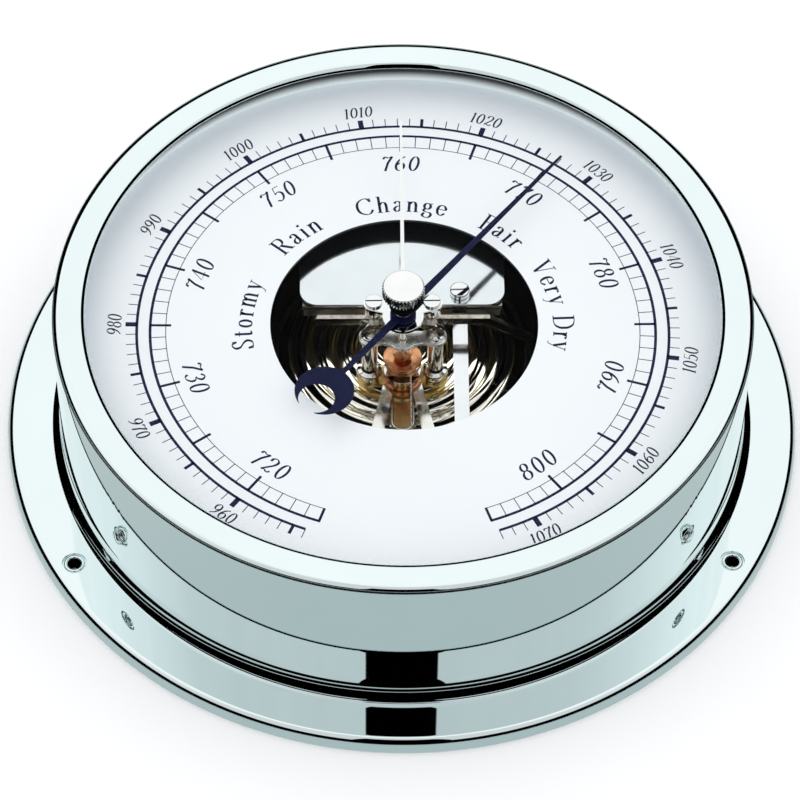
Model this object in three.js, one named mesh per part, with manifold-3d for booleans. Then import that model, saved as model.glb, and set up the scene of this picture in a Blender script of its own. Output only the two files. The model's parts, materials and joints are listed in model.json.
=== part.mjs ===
/**
 * Aneroid barometer with an open dial: a chromed drum case on a screw-down flange, and the whole
 * movement behind it, from the corrugated capsule to the pointer.
 *
 * Millimetres. The case lies on its back: +Z is the dial's outward normal, +Y points to twelve
 * o'clock, and the origin is the centre of the flange's back face. Angles named CLOCK are in
 * degrees clockwise from twelve o'clock, seen from the front.
 */
import * as THREE from 'three';
import { mergeVertices } from 'three/addons/utils/BufferGeometryUtils.js';
import Module from 'manifold-3d';

const wasm = await Module();
wasm.setup();

// ---- driving dimensions -------------------------------------------------------------------

const FINE = 64; // sides of the large turned rings
const MEDIUM = 32; // sides of the capsule
const SMALL = 12; // sides of screws, pillars and holes
const GAP = 0.1; // assembly gap between pieces that bear on each other

const FLANGE_R = 75;
const FLANGE_TOP = 3.45;
const FLANGE_EDGE_ROUND = 1.5;
const FLANGE_HOLE = { circleR: 70.45, boreR: 1.2, sinkR: 2.25, sinkDepth: 0.6, clocks: [0, 120, 240] };
const WALL_R = 64.7;
const WALL_INNER_R = 63.1;
const WALL_TOP = 35.0;
const WALL_SWEEP = { r: 7, turn: 40 }; // hollow curve at the wall's foot
const WALL_FOOT = { r: 66.46, z: 4.0, fillet: 0.45 }; // small step under it, and its fillet to the flange
const RABBET_R = 63.9;
const RABBET_Z = 32.6;
const SIDE_HOLE = { z: 17, r: 1.3, lipR: 2, lipDepth: 0.6, clocks: [0, 127, 233] };

const LIP_R = 58.56; // inner edge of the bezel
const LIP_BOTTOM = 35.6;
const CROWN_TOP = 36.5;
const CROWN_ROUND = 0.4;
const SEAM = 0.7; // open joint between the bezel and the wall
const DIAL_TOP = 29.1;
const DIAL_T = 0.6;
const DIAL_R = 62.6;
const DIAL_HOLE = { x: 0.25, y: 1.0, r: 24.9 };
const WINDOW_R = 61.35; // inner wall of the ring that stands on the dial
const GLASS_R = 61.1;
const GLASS_BOTTOM = 34.3;
const GLASS_TOP = 35.5;
const GLASS_HOLE_R = 1.1;

const COVER_R = 62.8; // rear cover, a cup that carries the movement
const COVER_RIM_T = 1.0;
const COVER_BACK = 1.0;
const COVER_FLOOR = 2.2;
const BASE_R = 47;
const BASE_BOTTOM = 4.4;
const BASE_TOP = 5.9;
const BASE_FIXING = { circleR: 42, clocks: [60, 180, 300] };

const CAPSULE = { y: 9.5, r: 24.5, bottom: 6.2, seam: 8.7, crest: 11.5, valley: 10.5, pitch: 4.4, bossR: 5 };
const SPRING_Y = 38; // hinge line of the main spring
const LEAF = { halfWidth: 19.3, frontY: 8, backY: 39.8, bottom: 25.1, t: 0.6, cornerR: 3.5 };
const LOWER_LEAF = { halfWidth: 18.8, frontY: 8.4, backY: 18, bottom: 24.2, t: 0.6 };
const FRONT_BAR = { halfWidth: 18.6, frontY: 8.9, depth: 3.6, bottom: 21.4, h: 1.8 };
const LEVER = { x: 10.8, width: 2.8, backY: 14, frontY: -29, bottom: 23.4, t: 0.6 };
const LEVER_SCREW_Y = 10.8;

const DRUM_R = 1.2; // chain drum on the pointer arbor
const CHAIN_Z = 20.7;
const ROCKER = { y: -25.3, z: 11.2, arm: 9.5, crank: 2.6, shaftR: 0.9, crankX: 10.5 };
const LINK_X = 11.55;
const BRACKET = { z: 15.6, t: 0.8, earX: 8.1 };
const TONGUE = { z: 12.6, t: 1.0, frontY: -20 };
const PILLAR = { x: 6.15, y: 0.5, bottom: 13.7, flange: 15.2, top: 24.8, r: 1.5 };
const LOWER_BRIDGE = { z: 24.9, t: 0.8 };
const CROSS_ARM = { top: 29.35, h: 1.75, frontY: 1.75, depth: 1.0, leftX: -16.6, bendX: 16.2, padR: 1.7 };
const POST = { x: 5.4, y: 3.1, r: 1.4 };
const UPPER_BRIDGE = { z: 31.7, t: 0.8 };
const ARBOR_R = 0.6;

const POINTER = { clock: 38.7, z: 33.25, t: 0.25, tipR: 48.8, rootHalf: 0.8, tipHalf: 0.28 };
const CRESCENT = { centreR: 23.2, outerR: 5.45, cutR: 3.35, cutShift: 2.3 };
const SET_HAND = { z: 33.92, t: 0.2, tipR: 46.5, rootHalf: 0.42, tipHalf: 0.22 };
const KNOB = { r: 3.93, rootR: 3.6, teeth: 38, bottom: 38.9, top: 41.2, neckR: 1.9, shaftR: 0.9 };

// ---- materials ------------------------------------------------------------------------------

const metal = (color, roughness) => new THREE.MeshStandardMaterial({ color, roughness, metalness: 1 });
const chrome = metal(0xdfe4e4, 0.06);
const nickel = metal(0xcfcabb, 0.22);
const springSteel = metal(0xb9c0c4, 0.18);
const copper = metal(0xb4622f, 0.3);
const brass = metal(0xb99b54, 0.3);
const bluedSteel = new THREE.MeshStandardMaterial({ color: 0x14152e, roughness: 0.35, metalness: 0.3 });
const dialWhite = new THREE.MeshStandardMaterial({ color: 0xf1f5f8, roughness: 0.5, metalness: 0 });
const blackPaint = new THREE.MeshStandardMaterial({ color: 0x101012, roughness: 0.5, metalness: 0 });
const rubber = new THREE.MeshStandardMaterial({ color: 0x1b1b1c, roughness: 0.8, metalness: 0 });
const clear = new THREE.MeshStandardMaterial({
  color: 0xeef4f4, roughness: 0.02, metalness: 0, transparent: true, opacity: 0.2,
});

// ---- from three.js geometry to a closed solid, and back -----------------------------------------

/** Index triples without the flat ones that merging leaves where a lathe meets its axis. */
function properTriangles(index) {
  const kept = [];
  for (let i = 0; i < index.length; i += 3) {
    const [a, b, c] = [index[i], index[i + 1], index[i + 2]];
    if (a !== b && b !== c && c !== a) kept.push(a, b, c);
  }
  return kept;
}

/** Six times the signed volume of a closed triangle mesh. */
function signedVolume(position, triangles) {
  const corners = [new THREE.Vector3(), new THREE.Vector3(), new THREE.Vector3()];
  let total = 0;
  for (let i = 0; i < triangles.length; i += 3) {
    corners.forEach((corner, k) => corner.fromArray(position, 3 * triangles[i + k]));
    total += corners[0].dot(corners[1].cross(corners[2]));
  }
  return total;
}

/** A closed manifold solid with its faces pointing out, from any closed three.js geometry. */
function solid(geometry) {
  geometry.deleteAttribute('normal');
  geometry.deleteAttribute('uv');
  const merged = mergeVertices(geometry, 1e-4);
  const vertProperties = new Float32Array(merged.attributes.position.array);
  const triangles = properTriangles(merged.index.array);
  if (signedVolume(vertProperties, triangles) < 0) triangles.reverse();
  return new wasm.Manifold(new wasm.Mesh({ numProp: 3, vertProperties, triVerts: new Uint32Array(triangles) }));
}

/** A named mesh of one solid. */
function piece(name, body, material) {
  const { vertProperties, triVerts } = body.getMesh();
  const geometry = new THREE.BufferGeometry();
  geometry.setAttribute('position', new THREE.BufferAttribute(new Float32Array(vertProperties), 3));
  geometry.setIndex(new THREE.BufferAttribute(new Uint32Array(triVerts), 1));
  geometry.computeVertexNormals();
  const mesh = new THREE.Mesh(geometry, material);
  mesh.name = name;
  return mesh;
}

// ---- shape helpers --------------------------------------------------------------------------

/** A turned piece: [r, z] corners of its section, closed on themselves or resting on the axis. */
function turned(section, sides) {
  const points = section.map(([r, z]) => new THREE.Vector2(r, z));
  const onAxis = section[0][0] === 0 && section.at(-1)[0] === 0;
  if (!onAxis) points.push(points[0].clone());
  return solid(new THREE.LatheGeometry(points, sides).rotateX(Math.PI / 2));
}

/** Rectangular section of a ring or, with innerR 0, of a disc. */
const band = (innerR, outerR, bottom, top) => [[innerR, bottom], [outerR, bottom], [outerR, top], [innerR, top]];

/** Upright cylinder centred on (x, y). */
function rod(x, y, r, bottom, top, sides = SMALL) {
  const cylinder = new THREE.CylinderGeometry(r, r, top - bottom, sides).rotateX(Math.PI / 2);
  return solid(cylinder.translate(x, y, (bottom + top) / 2));
}

/** Cylinder along X centred on (y, z). */
function rodAlongX(y, z, r, left, right) {
  const cylinder = new THREE.CylinderGeometry(r, r, right - left, SMALL).rotateZ(Math.PI / 2);
  return solid(cylinder.translate((left + right) / 2, y, z));
}

/** Box between two corners. */
function block([x0, y0, z0], [x1, y1, z1]) {
  const box = new THREE.BoxGeometry(x1 - x0, y1 - y0, z1 - z0);
  return solid(box.translate((x0 + x1) / 2, (y0 + y1) / 2, (z0 + z1) / 2));
}

/** Flat plate of an [x, y] outline. */
function plate(outline, bottom, thickness) {
  const shape = outline instanceof THREE.Shape
    ? outline
    : new THREE.Shape(outline.map(([x, y]) => new THREE.Vector2(x, y)));
  const options = { depth: thickness, bevelEnabled: false, curveSegments: 8 };
  return solid(new THREE.ExtrudeGeometry(shape, options).translate(0, 0, bottom));
}

/** Centre-to-centre bar between two [x, y] points, with a half-width at each. */
function barOutline([x0, y0], [x1, y1], half0, half1) {
  const along = new THREE.Vector2(x1 - x0, y1 - y0).normalize();
  const [nx, ny] = [-along.y, along.x];
  return [
    [x0 + nx * half0, y0 + ny * half0],
    [x0 - nx * half0, y0 - ny * half0],
    [x1 - nx * half1, y1 - ny * half1],
    [x1 + nx * half1, y1 + ny * half1],
  ];
}

/** Arc points [r, z] round a centre, from one angle to another, in degrees. */
function arcPoints([r, z], radius, from, to, steps) {
  return Array.from({ length: steps + 1 }, (_, i) => {
    const angle = THREE.MathUtils.degToRad(from + ((to - from) * i) / steps);
    return [r + radius * Math.cos(angle), z + radius * Math.sin(angle)];
  });
}

/** [x, y] of a point at a clock angle. */
function atClock(clock, r) {
  const angle = THREE.MathUtils.degToRad(clock);
  return [r * Math.sin(angle), r * Math.cos(angle)];
}

/** Slotted screw standing on z = 0 with its head upward and its shank below. */
function slottedScrew(headR, headH, shankR, shankL, slotTurn = 0) {
  const slot = { width: headR * 0.26, depth: Math.min(0.4 * headH, 0.6) };
  const cutter = new THREE.BoxGeometry(2.4 * headR, slot.width, 2 * slot.depth).rotateZ(slotTurn);
  const round = 0.12 * headH;
  const section = [[0, -shankL], [shankR, -shankL], [shankR, 0], [headR, 0]];
  section.push([headR, headH - round], [headR - round, headH], [0, headH]);
  return turned(section, SMALL).subtract(solid(cutter.translate(0, 0, headH)));
}

/** Place a mesh and give it back. */
function at(mesh, x, y, z) {
  mesh.position.set(x, y, z);
  return mesh;
}

// ---- case -------------------------------------------------------------------------------------

/** The wall's outer face from the step at its foot up to where it stands upright, as [r, z] corners. */
function wallSweep() {
  const { r, turn } = WALL_SWEEP;
  const height = r * Math.sin(THREE.MathUtils.degToRad(turn));
  const arc = arcPoints([WALL_R + r, WALL_FOOT.z + height], r, 180 + turn, 180, 3);
  return [[WALL_FOOT.r, WALL_FOOT.z], ...arc];
}

function caseShell() {
  const edge = FLANGE_EDGE_ROUND;
  const section = [
    [WALL_INNER_R, 0],
    [FLANGE_R - 0.3, 0],
    [FLANGE_R, 0.3],
    ...arcPoints([FLANGE_R - edge, FLANGE_TOP - edge], edge, 0, 90, 3),
    ...arcPoints([WALL_FOOT.r + WALL_FOOT.fillet, FLANGE_TOP + WALL_FOOT.fillet], WALL_FOOT.fillet, 270, 180, 3),
    ...wallSweep(),
    [WALL_R, WALL_TOP - 0.25],
    [WALL_R - 0.25, WALL_TOP],
    [RABBET_R, WALL_TOP],
    [RABBET_R, RABBET_Z],
    [WALL_INNER_R, RABBET_Z],
  ];
  let shell = turned(section, FINE);
  for (const clock of FLANGE_HOLE.clocks) {
    const { circleR, boreR, sinkR, sinkDepth } = FLANGE_HOLE;
    const cone = [[0, -1], [boreR, -1], [boreR, FLANGE_TOP - sinkDepth], [sinkR, FLANGE_TOP + 0.01], [sinkR, 5], [0, 5]];
    const points = cone.map(([r, z]) => new THREE.Vector2(r, z));
    const cutter = new THREE.LatheGeometry(points, SMALL).rotateX(Math.PI / 2);
    shell = shell.subtract(solid(cutter.translate(...atClock(clock, circleR), 0)));
  }
  for (const clock of SIDE_HOLE.clocks) {
    const { z, r, lipR, lipDepth } = SIDE_HOLE;
    const bore = new THREE.CylinderGeometry(r, r, 6, SMALL);
    const lip = new THREE.CylinderGeometry(lipR + 0.15, r, lipDepth + 0.1, SMALL);
    bore.rotateZ(-THREE.MathUtils.degToRad(clock)).translate(...atClock(clock, WALL_R - 1), z);
    lip.rotateZ(-THREE.MathUtils.degToRad(clock)).translate(...atClock(clock, WALL_R + 0.05 - lipDepth / 2), z);
    shell = shell.subtract(solid(bore)).subtract(solid(lip));
  }
  return piece('case_shell', shell, chrome);
}

function bezelRing() {
  const outerR = WALL_R - 0.08;
  const seam = WALL_TOP + SEAM;
  const inside = { r: GLASS_R + 0.2, step: GLASS_BOTTOM, skirtR: COVER_R + GAP };
  const section = [
    [LIP_R, LIP_BOTTOM],
    ...arcPoints([LIP_R + 0.5, CROWN_TOP - 0.5], 0.5, 180, 90, 2),
    ...arcPoints([outerR - CROWN_ROUND, CROWN_TOP - CROWN_ROUND], CROWN_ROUND, 90, 0, 2),
    [outerR, seam],
    [RABBET_R - GAP, seam],
    [RABBET_R - GAP, RABBET_Z + GAP],
    [inside.skirtR, RABBET_Z + GAP],
    [inside.skirtR, inside.step],
    [inside.r, inside.step],
    [inside.r, LIP_BOTTOM],
  ];
  return piece('bezel_ring', turned(section, FINE), chrome);
}

/** Recessed socket screw that ties the case wall to the rear cover's rim. */
function caseScrew(number, clock) {
  const head = { r: 1.15, h: 1.3, socketR: 0.55 };
  const shank = { r: 0.8, l: 2.2 };
  const section = [[0, -shank.l], [shank.r, -shank.l], [shank.r, 0], [head.r, 0]];
  section.push([head.r, head.h - 0.15], [head.r - 0.15, head.h], [0, head.h]);
  const socket = new THREE.CylinderGeometry(head.socketR, head.socketR, 1.2, 6).rotateX(Math.PI / 2);
  const body = turned(section, SMALL).subtract(solid(socket.translate(0, 0, head.h)));
  const mesh = piece(`case_screw_${number}`, body, chrome);
  const seat = COVER_R + 0.15;
  const holder = new THREE.Group();
  holder.rotation.z = -THREE.MathUtils.degToRad(clock);
  mesh.rotation.x = -Math.PI / 2;
  holder.add(at(mesh, 0, seat, SIDE_HOLE.z));
  return holder;
}

function rearCover() {
  let cover = turned([
    [0, COVER_BACK],
    [COVER_R, COVER_BACK],
    [COVER_R, DIAL_TOP - DIAL_T - GAP],
    [COVER_R - COVER_RIM_T, DIAL_TOP - DIAL_T - GAP],
    [COVER_R - COVER_RIM_T, COVER_FLOOR],
    [0, COVER_FLOOR],
  ], FINE);
  cover = cover.subtract(rod(0, SPRING_Y, 2.9, 0, 4));
  for (const clock of BASE_FIXING.clocks) {
    cover = cover.subtract(rod(...atClock(clock, BASE_FIXING.circleR), 1.4, 0, 4));
  }
  for (const clock of SIDE_HOLE.clocks) {
    const cutter = new THREE.CylinderGeometry(0.9, 0.9, 6, SMALL);
    cutter.rotateZ(-THREE.MathUtils.degToRad(clock));
    cover = cover.subtract(solid(cutter.translate(...atClock(clock, COVER_R - 1), SIDE_HOLE.z)));
  }
  return piece('rear_cover', cover, blackPaint);
}

function glazing() {
  const ringTop = GLASS_BOTTOM - 0.35;
  const gasket = band(GLASS_R - 0.7, COVER_R - 0.2, ringTop + 0.05, GLASS_BOTTOM - 0.05);
  const { x, y, r } = DIAL_HOLE;
  const disc = rod(0, 0, DIAL_R, DIAL_TOP - DIAL_T, DIAL_TOP, FINE);
  const dial = disc.subtract(rod(x, y, r, DIAL_TOP - 2, DIAL_TOP + 1, FINE));
  return [
    piece('glass', turned(band(GLASS_HOLE_R, GLASS_R, GLASS_BOTTOM, GLASS_TOP), FINE), clear),
    piece('glass_gasket', turned(gasket, FINE), rubber),
    piece('dial_ring', turned(band(WINDOW_R, COVER_R, DIAL_TOP + GAP, ringTop), FINE), dialWhite),
    piece('dial', dial, dialWhite),
  ];
}

// ---- movement: base and capsule -----------------------------------------------------------------

function basePlate() {
  let base = rod(0, 0, BASE_R, BASE_BOTTOM, BASE_TOP, MEDIUM).subtract(rod(0, SPRING_Y, 1.7, 0, 9));
  for (const clock of BASE_FIXING.clocks) {
    base = base.subtract(rod(...atClock(clock, BASE_FIXING.circleR), 1.4, 0, 9));
  }
  return piece('base_plate', base, blackPaint);
}

/** Spacer and screw that hold the base plate off the rear cover, for each fixing. */
function baseFixings() {
  return BASE_FIXING.clocks.flatMap((clock, i) => {
    const [x, y] = atClock(clock, BASE_FIXING.circleR);
    const spacer = turned(band(1.4, 3, COVER_FLOOR + GAP, BASE_BOTTOM - GAP), SMALL);
    const screw = piece(`base_screw_${i + 1}`, slottedScrew(2.4, 0.6, 1.2, 4.3), nickel);
    screw.rotation.x = Math.PI;
    return [at(piece(`base_spacer_${i + 1}`, spacer, brass), x, y, 0), at(screw, x, y, COVER_BACK - 0.05)];
  });
}

/** Corrugated top of the capsule between its centre boss and its rim, as [r, z] corners. */
function corrugations() {
  const { crest, valley, pitch, bossR, r } = CAPSULE;
  const start = bossR + 0.4;
  const stepsPerWave = 4;
  const steps = Math.floor(((r - 2.4 - start) / pitch) * stepsPerWave);
  return Array.from({ length: steps + 1 }, (_, i) => {
    const wave = Math.cos((2 * Math.PI * i) / stepsPerWave);
    return [start + (i * pitch) / stepsPerWave, (crest + valley) / 2 + ((crest - valley) / 2) * wave];
  });
}

function capsule() {
  const { y, r, bottom, seam, crest, bossR } = CAPSULE;
  const lower = [[0, bottom], [21, bottom], [22.6, seam - 0.9], [r, seam - 0.7], [r, seam - 0.05], [0, seam - 0.05]];
  const waves = corrugations().reverse();
  const pocket = bossR + 0.4;
  const upper = [[pocket, seam + 0.05], [r, seam + 0.05], [r, seam + 0.6], [r - 1.4, seam + 0.9], ...waves];
  const boss = [[0, crest - 1.3], [bossR, crest - 1.3], [bossR, crest], [0, crest]];
  const stud = [[0, crest + GAP], [2.4, crest + GAP], [2.4, crest + 0.7], [1.2, crest + 1.2]];
  stud.push([1.2, FRONT_BAR.bottom - 0.2], [0, FRONT_BAR.bottom - 0.2]);
  return [
    at(piece('capsule_lower', turned(lower, MEDIUM), nickel), 0, y, 0),
    at(piece('capsule_upper', turned(upper, MEDIUM), nickel), 0, y, 0),
    at(piece('capsule_boss', turned(boss, MEDIUM), nickel), 0, y, 0),
    at(piece('capsule_stud', turned(stud, SMALL), nickel), 0, y, 0),
  ];
}

// ---- movement: main spring and lever ----------------------------------------------------------

const CLAMP = { halfWidth: 19, frontY: SPRING_Y - 2.4, backY: SPRING_Y + 2.4, screwX: 12 };

function springSeat() {
  const { halfWidth, frontY, backY, screwX } = CLAMP;
  const clampBottom = LEAF.bottom + LEAF.t + 0.2;
  const clampTop = 27.1;
  let seat = block([-halfWidth, frontY, BASE_TOP + GAP], [halfWidth, backY, LEAF.bottom - 0.15]);
  seat = seat.subtract(rod(0, SPRING_Y, 1.5, 0, 12));
  let clamp = block([-halfWidth, frontY, clampBottom], [halfWidth, backY, clampTop]);
  for (const x of [-screwX, screwX]) {
    seat = seat.subtract(rod(x, SPRING_Y, 1.0, 20, 30));
    clamp = clamp.subtract(rod(x, SPRING_Y, 1.0, 20, 30));
  }
  const screws = [-screwX, screwX].map((x, i) => {
    const screw = piece(`clamp_screw_${i + 1}`, slottedScrew(1.8, 0.8, 0.9, 6, 0.6 - i), nickel);
    return at(screw, x, SPRING_Y, clampTop + 0.05);
  });
  return [piece('spring_block', seat, brass), piece('spring_clamp', clamp, nickel), ...screws];
}

function leafOutline() {
  const { halfWidth, frontY, backY, cornerR } = LEAF;
  const shape = new THREE.Shape();
  shape.moveTo(-halfWidth, backY);
  shape.lineTo(-halfWidth, frontY + cornerR);
  shape.absarc(-halfWidth + cornerR, frontY + cornerR, cornerR, Math.PI, 1.5 * Math.PI);
  shape.absarc(halfWidth - cornerR, frontY + cornerR, cornerR, 1.5 * Math.PI, 2 * Math.PI);
  shape.lineTo(halfWidth, backY);
  shape.closePath();
  return shape;
}

function mainSpring() {
  const screwHole = rod(LEVER.x, LEVER_SCREW_Y, 1.0, 15, 30);
  let leaf = plate(leafOutline(), LEAF.bottom, LEAF.t).subtract(screwHole);
  for (const x of [-CLAMP.screwX, CLAMP.screwX]) {
    leaf = leaf.subtract(rod(x, SPRING_Y, 1.2, 20, 30));
  }
  const lower = LOWER_LEAF;
  const lowerLeaf = block(
    [-lower.halfWidth, lower.frontY, lower.bottom],
    [lower.halfWidth, lower.backY, lower.bottom + lower.t],
  );
  const bar = FRONT_BAR;
  const frontBar = block(
    [-bar.halfWidth, bar.frontY, bar.bottom],
    [bar.halfWidth, bar.frontY + bar.depth, bar.bottom + bar.h],
  );
  const left = LEVER.x - LEVER.width / 2;
  const right = LEVER.x + LEVER.width / 2;
  const strip = block([left, LEVER.frontY, LEVER.bottom], [right, LEVER.backY, LEVER.bottom + LEVER.t]);
  const linkHole = rod(LINK_X, ROCKER.y - ROCKER.crank, 0.6, 20, 30);
  const spacer = block([-right, bar.frontY, LEVER.bottom], [-left, bar.frontY + bar.depth, LEVER.bottom + LEVER.t]);
  const screw = piece('lever_screw', slottedScrew(1.85, 1.1, 0.9, 4, 0.05), nickel);
  return [
    piece('spring_leaf', leaf, springSteel),
    piece('lower_leaf', lowerLeaf.subtract(screwHole), nickel),
    piece('front_bar', frontBar.subtract(screwHole), nickel),
    piece('bar_spacer', spacer, nickel),
    piece('lever', strip.subtract(screwHole).subtract(linkHole), springSteel),
    at(screw, LEVER.x, LEVER_SCREW_Y, LEAF.bottom + LEAF.t + GAP),
  ];
}

// ---- movement: link, rocking shaft and chain -----------------------------------------------------

function link() {
  const y = ROCKER.y - ROCKER.crank;
  const eye = rodAlongX(y, ROCKER.z, 1.1, LINK_X - 0.25, LINK_X + 0.25);
  const wire = rod(LINK_X, y, 0.35, ROCKER.z + 0.8, LEVER.bottom + LEVER.t + 0.5);
  const bead = rod(LINK_X, y, 0.8, LEVER.bottom + LEVER.t + 0.3, LEVER.bottom + LEVER.t + 0.9);
  const hole = rodAlongX(y, ROCKER.z, 0.62, LINK_X - 1, LINK_X + 1);
  return piece('link', eye.subtract(hole).add(wire).add(bead), nickel);
}

/** Plate across X with a hub on the rocking shaft and a bar to (y, z), in a chosen x span. */
function shaftPlate(x0, x1, hubR, [y, z], endR) {
  const { y: shaftY, z: shaftZ, shaftR } = ROCKER;
  const half = Math.min(endR, hubR);
  const outline = barOutline([shaftY, shaftZ], [y, z], half, half);
  const shape = new THREE.Shape(outline.map(([u, v]) => new THREE.Vector2(u, v)));
  const bar = new THREE.ExtrudeGeometry(shape, { depth: x1 - x0, bevelEnabled: false });
  bar.applyMatrix4(new THREE.Matrix4().set(0, 0, 1, x0, 1, 0, 0, 0, 0, 1, 0, 0, 0, 0, 0, 1));
  return rodAlongX(shaftY, shaftZ, hubR, x0, x1)
    .add(rodAlongX(y, z, endR, x0, x1))
    .add(solid(bar))
    .subtract(rodAlongX(shaftY, shaftZ, shaftR + 0.05, x0 - 1, x1 + 1));
}

function rockingShaft() {
  const { y, z, arm, crank, shaftR, crankX } = ROCKER;
  const pinY = y - crank;
  const armPlate = shaftPlate(1.1, 1.9, 1.7, [y, z + arm + 0.1], 0.6);
  const crankPlate = shaftPlate(crankX - 0.5, crankX + 0.5, 1.6, [pinY, z], 0.8);
  const crankPin = rodAlongX(pinY, z, 0.3, crankX, LINK_X + 0.6);
  return [
    piece('rocking_shaft', rodAlongX(y, z, shaftR, -9.4, crankX + 1), nickel),
    piece('rocker_arm', armPlate, nickel),
    piece('crank', crankPlate.add(crankPin), nickel),
  ];
}

function chain() {
  const x = DRUM_R + 0.3;
  const endY = ROCKER.y + 0.9;
  return piece('chain', block([x - 0.2, endY, CHAIN_Z - 0.25], [x + 0.2, 0, CHAIN_Z + 0.25]), nickel);
}

/** Forked bracket whose legs carry the rocking shaft's pivots. */
function rockerBracket() {
  const { z, t, earX } = BRACKET;
  let bracket = rod(0, 0, 3.6, z, z + t);
  for (const side of [-1, 1]) {
    const leg = barOutline([side * 2.2, -1.6], [side * 7.2, -26.4], 0.95, 1.45);
    const ear = block([side * earX - 0.5, -27.2, 9.4], [side * earX + 0.5, -23.4, z + t]);
    bracket = bracket.add(plate(leg, z, t)).add(ear);
  }
  const pivot = rodAlongX(ROCKER.y, ROCKER.z, ROCKER.shaftR + 0.15, -12, 12);
  return piece('rocker_bracket', bracket.subtract(pivot).subtract(rod(0, 0, 0.9, 10, 20)), nickel);
}

/** Wire loop between the bracket's legs that keeps the slack chain from the capsule. */
function guardWire() {
  const half = 2.0;
  const [backY, frontY] = [-3.9, -11.2];
  const z = BRACKET.z - 0.8;
  const path = new THREE.CurvePath();
  const corners = [[-half, backY], [-half, frontY], [half, frontY], [half, backY]];
  const [a, b, c, d] = corners.map(([x, y]) => new THREE.Vector3(x, y, z));
  path.add(new THREE.LineCurve3(a, b));
  path.add(new THREE.CubicBezierCurve3(b, new THREE.Vector3(-half, frontY - 2.6, z), new THREE.Vector3(half, frontY - 2.6, z), c));
  path.add(new THREE.LineCurve3(c, d));
  const section = new THREE.Shape().absarc(0, 0, 0.25, 0, 2 * Math.PI);
  const wire = new THREE.ExtrudeGeometry(section, { steps: 14, extrudePath: path, curveSegments: 4 });
  return piece('guard_wire', solid(wire), nickel);
}

// ---- movement: carrier, bridges and frame ----------------------------------------------------------

function carrier() {
  const { z, t, frontY } = TONGUE;
  const head = plate(barOutline([-6.2, 0.9], [6.2, 0.9], 2.5, 2.5), z, t);
  const ends = [-6.2, 6.2].map((x) => rod(x, 0.9, 2.5, z, z + t));
  const stem = block([-2.2, frontY, z], [2.2, 0, z + t]);
  const foot = block([-3.2, frontY, BASE_TOP + GAP], [3.2, frontY + 2.4, z + t]);
  const tongue = head.add(ends[0]).add(ends[1]).add(stem).add(foot);
  const bearing = turned(band(ARBOR_R + 0.1, 3.3, z + t + GAP, BRACKET.z - GAP), SMALL);
  return [piece('carrier_tongue', tongue, brass), piece('foot_bearing', bearing, copper)];
}

function pillar(name, x) {
  const { y, bottom, flange, top, r } = PILLAR;
  const section = [[0, bottom], [1.8, bottom], [1.8, flange], [2.4, flange], [2.4, flange + 0.7]];
  section.push([r, flange + 1.0], [r, top]);
  section.push([1.0, top], [1.0, top - 1.6], [0, top - 1.6]);
  return at(piece(name, turned(section, SMALL), nickel), x, y, 0);
}

/** Bridge plate: a disc round the arbor with an ear over each fixing. */
function bridgePlate(discR, ears, earR, neckHalf, bottom, thickness, earHoleR) {
  let body = rod(0, 0, discR, bottom, bottom + thickness);
  for (const [x, y] of ears) {
    body = body.add(rod(x, y, earR, bottom, bottom + thickness));
    body = body.add(plate(barOutline([0, 0], [x, y], neckHalf * 1.6, neckHalf), bottom, thickness));
  }
  for (const [x, y] of ears) {
    body = body.subtract(rod(x, y, earHoleR, bottom - 1, bottom + thickness + 1));
  }
  return body.subtract(rod(0, 0, ARBOR_R + 0.2, bottom - 1, bottom + thickness + 1));
}

function lowerBridge() {
  const { x, y, top } = PILLAR;
  const ears = [[-x, y], [x, y]];
  const body = bridgePlate(2.6, ears, 2.1, 1.2, LOWER_BRIDGE.z, LOWER_BRIDGE.t, 1.0);
  const seat = LOWER_BRIDGE.z + LOWER_BRIDGE.t + 0.05;
  const screws = ears.map(([earX], i) => {
    const name = i === 0 ? 'lower_bridge_screw_left' : 'lower_bridge_screw_right';
    const screw = slottedScrew(1.7, 0.75, 0.9, seat - top + 1.4, i === 0 ? 0.5 : 2.0);
    return at(piece(name, screw, nickel), earX, y, seat);
  });
  return [pillar('pillar_left', -x), pillar('pillar_right', x), piece('lower_bridge', body, nickel), ...screws];
}

/** Arm that reaches over the movement from the right and carries the upper bridge. */
function crossArm() {
  const { top, h, frontY, depth, leftX, bendX, padR } = CROSS_ARM;
  const bottom = top - h;
  const shape = new THREE.Shape();
  shape.moveTo(bendX, top);
  shape.lineTo(leftX + h / 2, top);
  shape.absarc(leftX + h / 2, (top + bottom) / 2, h / 2, 0.5 * Math.PI, 1.5 * Math.PI);
  const corners = [[bendX - 0.5, bottom], [26, 20.4], [30.6, 20.4], [30.6, BASE_TOP + GAP], [36, BASE_TOP + GAP]];
  corners.push([36, BASE_TOP + 1.3], [32.4, BASE_TOP + 1.3], [32.4, 21.9], [26.7, 21.9]);
  corners.forEach(([x, z]) => shape.lineTo(x, z));
  shape.closePath();
  const arm = new THREE.ExtrudeGeometry(shape, { depth, bevelEnabled: false, curveSegments: 8 });
  let body = solid(arm.rotateX(Math.PI / 2).translate(0, frontY + depth, 0));
  for (const x of [-POST.x, POST.x]) body = body.add(rod(x, POST.y, padR, bottom, top));
  for (const x of [-POST.x, POST.x]) body = body.subtract(rod(x, POST.y, 0.9, 20, 32));
  return piece('cross_arm', body, nickel);
}

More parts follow.
